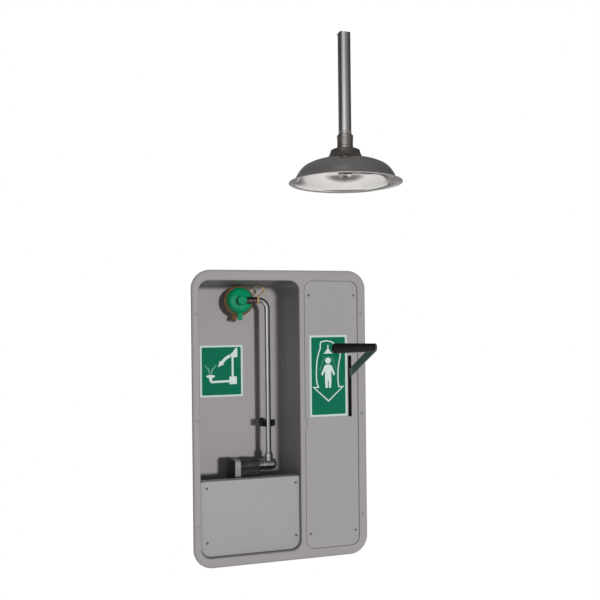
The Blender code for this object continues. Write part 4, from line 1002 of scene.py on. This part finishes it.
def make_pipework():
    up = Vector((0, 0, 1))
    start = Vector(((VALVE_X[0] + VALVE_X[1]) / 2, PIVOT_Y, top(TEE_Z)))
    end = Vector((RISER_X, RISER_Y, top(TEE_Z)))
    run = (end - start).normalized()
    elbow("supply_bend", "supply_elbow", start, up, run, SMALL_FITTING_R, NIPPLE_R + 0.0003, DULL_ZINC,
          "galvanised_steel")
    pipe("valve_nipple", "supply_nipple", start + up * 0.034,
         Vector((start.x, start.y, top(VALVE_FOOT_Z) + 0.015)),
         NIPPLE_R, 0.0079, ZINC, "galvanised_steel")
    pipe("branch_pipe", "crossover_pipe", start + run * 0.034, end - run * 0.0225, NIPPLE_R, 0.0079, ZINC,
         "galvanised_steel")
    tee = [(FITTING_R, -0.036), (FITTING_R, -0.025), (0.0200, -0.023), (0.0200, 0.023), (FITTING_R, 0.025),
           (FITTING_R, 0.036), (PIPE_R + 0.0003, 0.036), (PIPE_R + 0.0003, -0.036)]
    mouth = [(0.0152, 0.017), (0.0152, 0.029), (0.0164, 0.031), (0.0164, 0.040), (0.0112, 0.040),
             (0.0112, 0.017)]
    piece("branch_tee", [revolve(end, up, tee, 56, True, 0.0012),
                         revolve(end, -run, mouth, 48, True, 0.0010)],
          DULL_ZINC, "root", "supply_tee", "galvanised_steel")
    at = Vector((RISER_X, RISER_Y, 0))
    z_tee, z_valve = top(TEE_Z), top(SHOWER_PIVOT_Z)
    for name, cad, low, high in (("inlet_stub", "inlet_pipe", top(INLET_END_Z), z_tee - 0.012),
                                 ("riser_low", "lower_riser", z_tee + 0.012, z_valve - 0.0205),
                                 ("riser_high", "upper_riser", z_valve + 0.0205, top(OVERHEAD_Z) - 0.034)):
        pipe(name, cad, at + up * low, at + up * high, PIPE_R, 0.0133, ZINC, "galvanised_steel")
    riser = Vector((RISER_X, RISER_Y, top(OVERHEAD_Z)))
    drop = Vector((SHOWER_X, SHOWER_Y, top(OVERHEAD_Z)))
    along = (drop - riser).normalized()
    elbow("riser_bend", "riser_elbow", riser, -up, along, FITTING_R, PIPE_R + 0.0004, DULL_ZINC,
          "galvanised_steel")
    elbow("drop_bend", "drop_elbow", drop, -along, -up, FITTING_R, PIPE_R + 0.0004, DULL_ZINC,
          "galvanised_steel")
    pipe("ceiling_pipe", "overhead_pipe", riser + along * 0.034, drop - along * 0.034, PIPE_R, 0.0133, ZINC,
         "galvanised_steel")
    bottom = Vector((SHOWER_X, SHOWER_Y, top(SHOWER_RIM) + 0.1080))
    pipe("shower_drop", "drop_pipe", bottom, drop - up * 0.034, PIPE_R, 0.0133, PIPE_STEEL,
         "galvanised_steel")


# --- shower valve, lever and grip ---------------------------------------------------------------

def make_shower_valve():
    at = Vector((RISER_X, RISER_Y, top(SHOWER_PIVOT_Z)))
    bore = PIPE_R + 0.0003
    body = [(FITTING_R, -0.047), (FITTING_R, -0.036), (0.0208, -0.034), (0.0208, -0.030), (0.0270, -0.022),
            (0.0275, -0.018),
            (0.0275, 0.018), (0.0270, 0.022), (0.0208, 0.030), (0.0208, 0.034), (FITTING_R, 0.036),
            (FITTING_R, 0.047),
            (bore, 0.047), (bore, -0.047)]
    parts = [revolve(at, (0, 0, 1), body, 64, True, 0.001)]
    boss = [(0.0120, 0.022), (0.0120, 0.034), (0.0105, 0.035), (0.0105, 0.042), (0.0058, 0.042),
            (0.0058, 0.022)]
    parts.append(revolve(at, (1, 0, 0), boss, 48, True))
    parts.append(revolve(at, (1, 0, 0),
                         [(0.0128, 0.0350), (0.0128, 0.0400), (0.0100, 0.0400), (0.0100, 0.0350)], 6, True,
                         0.0004))
    piece("ball_valve_body", parts, BRASS, "root", "shower_valve_body", "brass")


def make_lever():
    pivot = Vector((0, RISER_Y, top(SHOWER_PIVOT_Z)))
    tip = Vector((0, GRIP_Y, top(GRIP_Z)))
    along = (tip - pivot).normalized()
    across = Vector((0, -along.z, along.y))
    outline = []
    for centre, direction in ((pivot, -along), (tip, along)):
        side = across if direction == along else -across
        for k in range(25):
            a = math.pi * k / 24
            outline.append((centre, side * -math.cos(a) + direction * math.sin(a)))
    rings = []
    half = LEVER_T / 2
    for k in range(5):
        a = math.pi / 2 * (1 - k / 4)
        rings.append((-half + 0.0012 * (1 - math.cos(math.pi / 2 - a)), 0.0012 * (1 - math.cos(a))))
    rings = [(x, LEVER_W / 2 - s) for x, s in rings] + [(-x, LEVER_W / 2 - s) for x, s in rings[::-1]]
    arm = loft([[c + d * r + Vector((LEVER_X + x, 0, 0)) for c, d in outline] for x, r in rings])
    arm = carve(arm, ("DIFFERENCE",
                      rod((LEVER_X - 0.02, pivot.y, pivot.z), (LEVER_X + 0.02, pivot.y, pivot.z), 0.0054)))
    washer = sleeve((LEVER_X - half - 0.0008, pivot.y, pivot.z), (LEVER_X - half, pivot.y, pivot.z), 0.0095,
                    0.0054)
    bar = piece("lever_bar", [arm, (washer, SCREW)], LEVER, "shower_lever", "lever_arm", "lever_grey")
    bar.visible_shadow = False
    x1 = LEVER_X + half
    nut = [(0.0072, 0.0), (0.0085, 0.0012), (0.0085, 0.0052), (0.0074, 0.0062), (0.0052, 0.0062),
           (0.0052, 0.0)]
    piece("lever_lock_nut", [revolve((x1 + 0.0003, pivot.y, pivot.z), (1, 0, 0), nut, 6, True, 0.0004)],
          SCREW,
          "shower_lever", "lever_nut", "screw_steel")
    stem = [rod((RISER_X + 0.0165, RISER_Y, pivot.z), (x1 + 0.0003, RISER_Y, pivot.z), 0.005),
            thread((x1 + 0.0003, RISER_Y, pivot.z), (LEVER_X + 0.0132, RISER_Y, pivot.z), 0.005, 0.0005,
                   0.0011, 0.0004)]
    piece("threaded_stem", stem, BRASS, "shower_lever", "valve_stem", "brass")


def make_grip():
    z = top(GRIP_Z)
    x0, x1 = GRIP_X
    r0, r1 = GRIP_R
    profile = []
    for k in range(12):
        a = math.pi / 2 * k / 12
        profile.append((0.004 + (r0 - 0.004) * math.sin(a), x0 + 0.010 * (1 - math.cos(a))))
    start, end, count = x0 + 0.012, x1 - 0.004, 58
    for k in range(count):
        for part, dip in ((0.0, 0.0), (0.35, 0.0), (0.5, 0.00022), (0.65, 0.00022), (0.8, 0.0)):
            t = (k + part) / count
            profile.append((r0 + (r1 - r0) * t - dip, start + (end - start) * t))
    profile += [(r1, end), (r1 - 0.0004, x1 - 0.0012), (r1 - 0.0016, x1), (0.0054, x1),
                (0.0054, x0 + 0.006),
                (0.0034, x0 + 0.006), (0.0034, x0 + 0.0004)]
    grip = piece("rubber_grip", revolve((0, GRIP_Y, z), (1, 0, 0), profile, 72, True, 0.0), BLACK,
                 "shower_lever",
                 "handle_grip", "black_rubber", 50)
    bolt = piece("grip_bolt", rod((x0 + 0.0065, GRIP_Y, z), (LEVER_X - LEVER_T / 2 - 0.0003, GRIP_Y, z),
                                  0.005), SCREW,
                 "shower_lever", "grip_rod", "screw_steel")
    # A choice of look: the grip and its bolt cast no shadow on the panel or the sign.
    grip.visible_shadow = bolt.visible_shadow = False


# --- shower head --------------------------------------------------------------------------------

def make_bowl():
    base = (SHOWER_X, SHOWER_Y, top(SHOWER_RIM))
    outside = curve([(0.0200, 0.0630), (0.0480, 0.0622), (0.0600, 0.0605), (0.0720, 0.0578),
                     (0.0850, 0.0540),
                     (0.0980, 0.0487), (0.1090, 0.0425), (0.1175, 0.0345), (0.1235, 0.0265),
                     (0.1280, 0.0190),
                     (0.1315, 0.0120), (0.1350, 0.0062), (0.1400, 0.0030), (0.1478, 0.0016)], 4)
    inside = []
    for i, (r, h) in enumerate(outside):
        a, b = outside[max(i - 1, 0)], outside[min(i + 1, len(outside) - 1)]
        tr, th = b[0] - a[0], b[1] - a[1]
        size = math.hypot(tr, th)
        inside.append((r + th / size * SHEET_T, h - tr / size * SHEET_T))
    edge = [(0.1478 + 0.0008 * math.cos(a), 0.0010 + 0.0010 * math.sin(a))
            for a in (math.pi / 2 - math.pi * k / 8 for k in range(9))]
    profile = outside + edge + inside[::-1]
    piece("spun_bowl", revolve(base, (0, 0, 1), profile, 128, True, 0.0), BOWL, "root", "shower_bowl",
          "stainless_steel", 60)


def make_hub():
    base = Vector((SHOWER_X, SHOWER_Y, top(SHOWER_RIM)))
    up = (0, 0, 1)
    flank = curve([(0.0530, 0.0640), (0.0495, 0.0650), (0.0440, 0.0700), (0.0400, 0.0780),
                   (0.0378, 0.0850)], 6)
    outside = [(0.0033, 0.0240), (0.0184, 0.0240), (0.0194, 0.0480), (0.0194, 0.0635),
               (0.0528, 0.0635)] + flank
    outside += [(0.0350, 0.0872), (0.0166, 0.0875), (0.0160, 0.1060), (0.0002, 0.1060), (0.0002, 0.0535),
                (0.0033, 0.0535)]
    ports = []
    for k in range(4):
        a = math.pi / 2 * (k + 0.5)
        spot = base + Vector((0.0085 * math.cos(a), 0.0085 * math.sin(a), 0))
        ports.append(("DIFFERENCE", rod(spot + Vector((0, 0, 0.01)), spot + Vector((0, 0, 0.054)), 0.0032,
                                        24)))
    parts = [carve(revolve(base, up, outside, 72, True, 0.0007), *ports)]
    parts.append(revolve(base, up, [(0.0376, 0.0838), (0.0384, 0.0846), (0.0378, 0.0856), (0.0362, 0.0846)],
                         72, True, 0.0002))
    piece("shower_hub_casting", parts, HUB, "root", "shower_hub", "stainless_steel", 40)
    bore = PIPE_R + 0.0004
    ring = [(0.0200, 0.0878), (0.0212, 0.0888), (0.0212, 0.0960), (0.0204, 0.0968), (0.0204, 0.1160),
            (0.0212, 0.1168),
            (0.0212, 0.1242), (0.0202, 0.1250), (bore, 0.1250), (bore, 0.0878)]
    collar = [revolve(base, up, ring, 64, True, 0.0004)]
    for k in range(12):
        a = 2 * math.pi * k / 12
        rib = slab((0.0198, 0.0209), (-0.0012, 0.0012), (0.0972, 0.1158), 0.0004)
        place = Matrix.Translation(base) @ Matrix.Rotation(a, 4, "Z")
        bmesh.ops.transform(rib, matrix=place, verts=rib.verts)
        collar.append(rib)
    collar.append((thread(base + Vector((0, 0, 0.1250)), base + Vector((0, 0, 0.1345)), 0.0174, bore),
                   PIPE_STEEL))
    piece("threaded_collar", collar, HUB, "root", "shower_coupling", "galvanised_steel", 40)
    dish = curve([(0.0036, 0.0185), (0.0090, 0.0189), (0.0140, 0.0198), (0.0184, 0.0210)], 5)
    under = curve([(0.0184, 0.0191), (0.0140, 0.0180), (0.0090, 0.0170), (0.0036, 0.0165)], 5)
    piece("deflector_dish", revolve(base, up, dish + [(0.0191, 0.0201)] + under, 72, True, 0.0002), BOWL,
          "root",
          "shower_deflector", "stainless_steel")
    head = revolve(base, up, [(0.0002, 0.0106), (0.0058, 0.0106), (0.0065, 0.0114), (0.0065, 0.0158),
                              (0.0002, 0.0160)], 6, soft=0.0005)
    shank = rod(base + Vector((0, 0, 0.0157)), base + Vector((0, 0, 0.0525)), 0.0029)
    piece("deflector_hex_bolt", [head, shank], SCREW, "root", "deflector_bolt", "screw_steel")


for make in (make_cabinet, make_panel, make_cover, make_screws, make_shelf, make_eyewash_sign,
             make_shower_sign,
             make_eyewash_valve, make_tee, make_arm, make_head, make_dust_cover, make_tether, make_clip,
             make_pipework, make_shower_valve, make_lever, make_grip, make_bowl, make_hub):
    make()

# CAD nodes that stay inside their neighbours keep their own mesh and take a better finish.
for cad, look, slot_name in (("valve_plug", BRASS, "brass"),
                             ("flow_regulator", BLACK_PLASTIC, "black_plastic"),
                             ("shower_ball", CHROME, "chrome")):
    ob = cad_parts[cad]
    ob.data.materials.clear()
    ob.data.materials.append(look.mat)


# --- studio -------------------------------------------------------------------------------------

def stage_plane(name, corners, mat):
    mesh = bpy.data.meshes.new(name)
    mesh.from_pydata([Vector(c) for c in corners], [], [tuple(range(len(corners)))])
    mesh.materials.append(mat)
    ob = bpy.data.objects.new(name, mesh)
    scene.collection.objects.link(ob)
    return ob


def one_sided_white():
    """White seen from the front of a backdrop and nothing seen from behind it."""
    mat = bpy.data.materials.new("white_backdrop")
    mat.use_nodes = True
    tree = mat.node_tree
    tree.nodes.clear()
    out = tree.nodes.new("ShaderNodeOutputMaterial")
    glow = tree.nodes.new("ShaderNodeEmission")
    glow.inputs["Color"].default_value = (1, 1, 1, 1)
    clear = tree.nodes.new("ShaderNodeBsdfTransparent")
    side = tree.nodes.new("ShaderNodeNewGeometry")
    mix = tree.nodes.new("ShaderNodeMixShader")
    tree.links.new(side.outputs["Backfacing"], mix.inputs[0])
    tree.links.new(glow.outputs[0], mix.inputs[1])
    tree.links.new(clear.outputs[0], mix.inputs[2])
    tree.links.new(mix.outputs[0], out.inputs[0])
    return mat


def backdrop(ob):
    for ray in ("diffuse", "glossy", "shadow", "transmission", "volume_scatter"):
        setattr(ob, f"visible_{ray}", False)


def make_room():
    """A wall around the cabinet and a ceiling, which hide the supply pipes as they are hidden in use."""
    white = one_sided_white()
    x0, x1, z0, z1 = -2.4, 2.4, top(-1.52), top(CEILING_Z)
    hole_x, hole_z = (-0.296, 0.290), tops((-0.975, -0.018))
    y = 0.0004
    strips = (((x0, hole_x[0]), (z0, z1)), ((hole_x[1], x1), (z0, z1)),
              (hole_x, (z0, hole_z[0])), (hole_x, (hole_z[1], z1)))
    for i, (sx, sz) in enumerate(strips):
        backdrop(stage_plane(f"wall_{i}",
                             [(sx[0], y, sz[0]), (sx[1], y, sz[0]), (sx[1], y, sz[1]), (sx[0], y, sz[1])],
                             white))
    hole = (SHOWER_X, SHOWER_Y)
    r = PIPE_R - 0.001
    z = top(CEILING_Z)
    for i, (sx, sy) in enumerate((((x0, hole[0] - r), (-2.3, y)), ((hole[0] + r, x1), (-2.3, y)),
                                  ((hole[0] - r, hole[0] + r), (-2.3, hole[1] - r)),
                                  ((hole[0] - r, hole[0] + r), (hole[1] + r, y)))):
        backdrop(stage_plane(f"ceiling_{i}",
                             [(sx[0], sy[0], z), (sx[0], sy[1], z), (sx[1], sy[1], z), (sx[1], sy[0], z)],
                             white))


def make_floor():
    floor_look = Look("pale_floor")
    look = floor_look
    tone = look.remap(look.noise(3.0, 5.0), 0.0, 1.0)
    look.to("Base Color", look.mix(tone, (0.80, 0.80, 0.79), (0.84, 0.84, 0.83)))
    look.to("Roughness", look.remap(look.noise(14.0, 4.0), 0.5, 0.62))
    look.to("Normal", look.bump(look.noise(260.0, 3.0), 0.05))
    distance = look.add("ShaderNodeVectorMath", operation="DISTANCE")
    look.link(look.coords, distance.inputs[0])
    distance.inputs[1].default_value = (0.0, -0.75, top(-1.52))
    fade = look.remap(distance.outputs["Value"], 0.0, 1.0, 0.55, 1.05)
    clear = look.add("ShaderNodeBsdfTransparent")
    mix = look.add("ShaderNodeMixShader")
    look.link(fade, mix.inputs[0])
    look.link(look.shader.outputs[0], mix.inputs[1])
    look.link(clear.outputs[0], mix.inputs[2])
    look.link(mix.outputs[0], look.tree.nodes["Material Output"].inputs["Surface"])
    z = top(-1.52)
    stage_plane("floor", [(-1.1, -1.85, z), (1.1, -1.85, z), (1.1, 0.32, z), (-1.1, 0.32, z)], look.mat)


def make_world():
    """White to the camera; to the surfaces, a soft room with a bright front, dark flanks and a pale floor."""
    world = bpy.data.worlds.new("studio")
    scene.world = world
    world.use_nodes = True
    tree = world.node_tree
    tree.nodes.clear()

    def add(kind, **props):
        n = tree.nodes.new(kind)
        for key, value in props.items():
            setattr(n, key, value)
        return n

    link = tree.links.new
    path = add("ShaderNodeLightPath")
    coords = add("ShaderNodeTexCoord")
    parts = add("ShaderNodeSeparateXYZ")
    link(coords.outputs["Generated"], parts.inputs[0])
    front = add("ShaderNodeMath", operation="MULTIPLY")
    link(parts.outputs[1], front.inputs[0])
    front.inputs[1].default_value = -1.0
    angle = add("ShaderNodeMath", operation="ARCTAN2")
    link(parts.outputs[0], angle.inputs[0])
    link(front.outputs[0], angle.inputs[1])
    turn = add("ShaderNodeMapRange")
    turn.inputs["From Min"].default_value = -math.pi
    turn.inputs["From Max"].default_value = math.pi
    link(angle.outputs[0], turn.inputs["Value"])
    around = add("ShaderNodeValToRGB")
    # Turn about the vertical: 0.5 is straight in front of the wall, less is to the left.
    stops = ((0.0, 0.30), (0.20, 0.08), (0.30, 0.10), (0.36, 1.1), (0.45, 1.5), (0.50, 0.55), (0.62, 0.32),
             (0.70, 0.10), (0.80, 0.08), (1.0, 0.30))
    ramp = around.color_ramp
    while len(ramp.elements) < len(stops):
        ramp.elements.new(0.5)
    for element, (at, value) in zip(ramp.elements, stops):
        element.position = at
        element.color = (value, value, value, 1)
    link(turn.outputs[0], around.inputs[0])
    height = add("ShaderNodeValToRGB")
    # From straight down to straight up: the share of the room's own light, then of the ceiling.
    link_height = add("ShaderNodeMapRange")
    link_height.inputs["From Min"].default_value = -1.0
    link_height.inputs["From Max"].default_value = 1.0
    link(parts.outputs[2], link_height.inputs["Value"])
    link(link_height.outputs[0], height.inputs[0])
    levels = ((0.0, 0.95), (0.30, 0.80), (0.42, 0.25), (0.50, 0.0), (0.62, 0.0), (0.78, 0.10), (1.0, 0.14))
    ramp = height.color_ramp
    while len(ramp.elements) < len(levels):
        ramp.elements.new(0.5)
    for element, (at, value) in zip(ramp.elements, levels):
        element.position = at
        element.color = (value, value, value, 1)
    share = add("ShaderNodeValToRGB")
    shares = ((0.0, 1.0), (0.30, 0.9), (0.45, 0.2), (0.50, 0.0), (0.60, 0.0), (0.75, 0.8), (1.0, 1.0))
    ramp = share.color_ramp
    while len(ramp.elements) < len(shares):
        ramp.elements.new(0.5)
    for element, (at, value) in zip(ramp.elements, shares):
        element.position = at
        element.color = (value, value, value, 1)
    link(link_height.outputs[0], share.inputs[0])
    room = add("ShaderNodeMix", data_type="RGBA")
    link(share.outputs[0], room.inputs[0])
    link(around.outputs[0], room.inputs[6])
    link(height.outputs[0], room.inputs[7])
    soft = add("ShaderNodeBackground")
    soft.inputs["Color"].default_value = (0.98, 0.99, 1.0, 1)
    soft.inputs["Strength"].default_value = 0.23
    mirrored = add("ShaderNodeBackground")
    link(room.outputs[2], mirrored.inputs["Color"])
    white = add("ShaderNodeBackground")
    white.inputs["Color"].default_value = (1, 1, 1, 1)
    gloss = add("ShaderNodeMixShader")
    link(path.outputs["Is Glossy Ray"], gloss.inputs[0])
    link(soft.outputs[0], gloss.inputs[1])
    link(mirrored.outputs[0], gloss.inputs[2])
    seen = add("ShaderNodeMixShader")
    link(path.outputs["Is Camera Ray"], seen.inputs[0])
    link(gloss.outputs[0], seen.inputs[1])
    link(white.outputs[0], seen.inputs[2])
    out = add("ShaderNodeOutputWorld")
    link(seen.outputs[0], out.inputs["Surface"])


def light(name, kind, energy, direction, **props):
    data = bpy.data.lights.new(name, kind)
    data.energy = energy
    for key, value in props.items():
        setattr(data, key, value)
    ob = bpy.data.objects.new(name, data)
    scene.collection.objects.link(ob)
    ob.rotation_mode = "QUATERNION"
    ob.rotation_quaternion = Vector(direction).to_track_quat("-Z", "Y")
    return ob


def make_lights():
    swing, rise = math.radians(9.0), math.radians(4.5)
    travel = Vector((-math.sin(swing) * math.cos(rise), math.cos(swing) * math.cos(rise), -math.sin(rise)))
    key = light("key", "SUN", 2.55, travel, angle=math.radians(4.5), color=(1.0, 0.992, 0.985))
    key.visible_glossy = False


def make_camera():
    """The picture's viewpoint: a little left of the cabinet and turned 16 degrees towards it."""
    yaw, roll = math.radians(15.99), math.radians(-0.62)
    ahead = Vector((math.sin(yaw), math.cos(yaw), 0))
    right = Vector((math.cos(yaw), -math.sin(yaw), 0))
    up = Vector((0, 0, 1))
    right, up = right * math.cos(roll) + up * math.sin(roll), up * math.cos(roll) - right * math.sin(roll)
    data = bpy.data.cameras.new("camera")
    data.lens, data.sensor_width = 44.1, 36.0
    data.shift_y = 0.0362
    data.clip_start, data.clip_end = 0.05, 50.0
    cam = bpy.data.objects.new("camera", data)
    scene.collection.objects.link(cam)
    basis = Matrix((right, up, -ahead)).transposed().to_4x4()
    basis.translation = (-0.627, -2.428, top(-0.176))
    cam.matrix_world = basis
    scene.camera = cam


make_room()
make_floor()
make_world()
make_lights()
make_camera()
scene.view_settings.view_transform = "Standard"
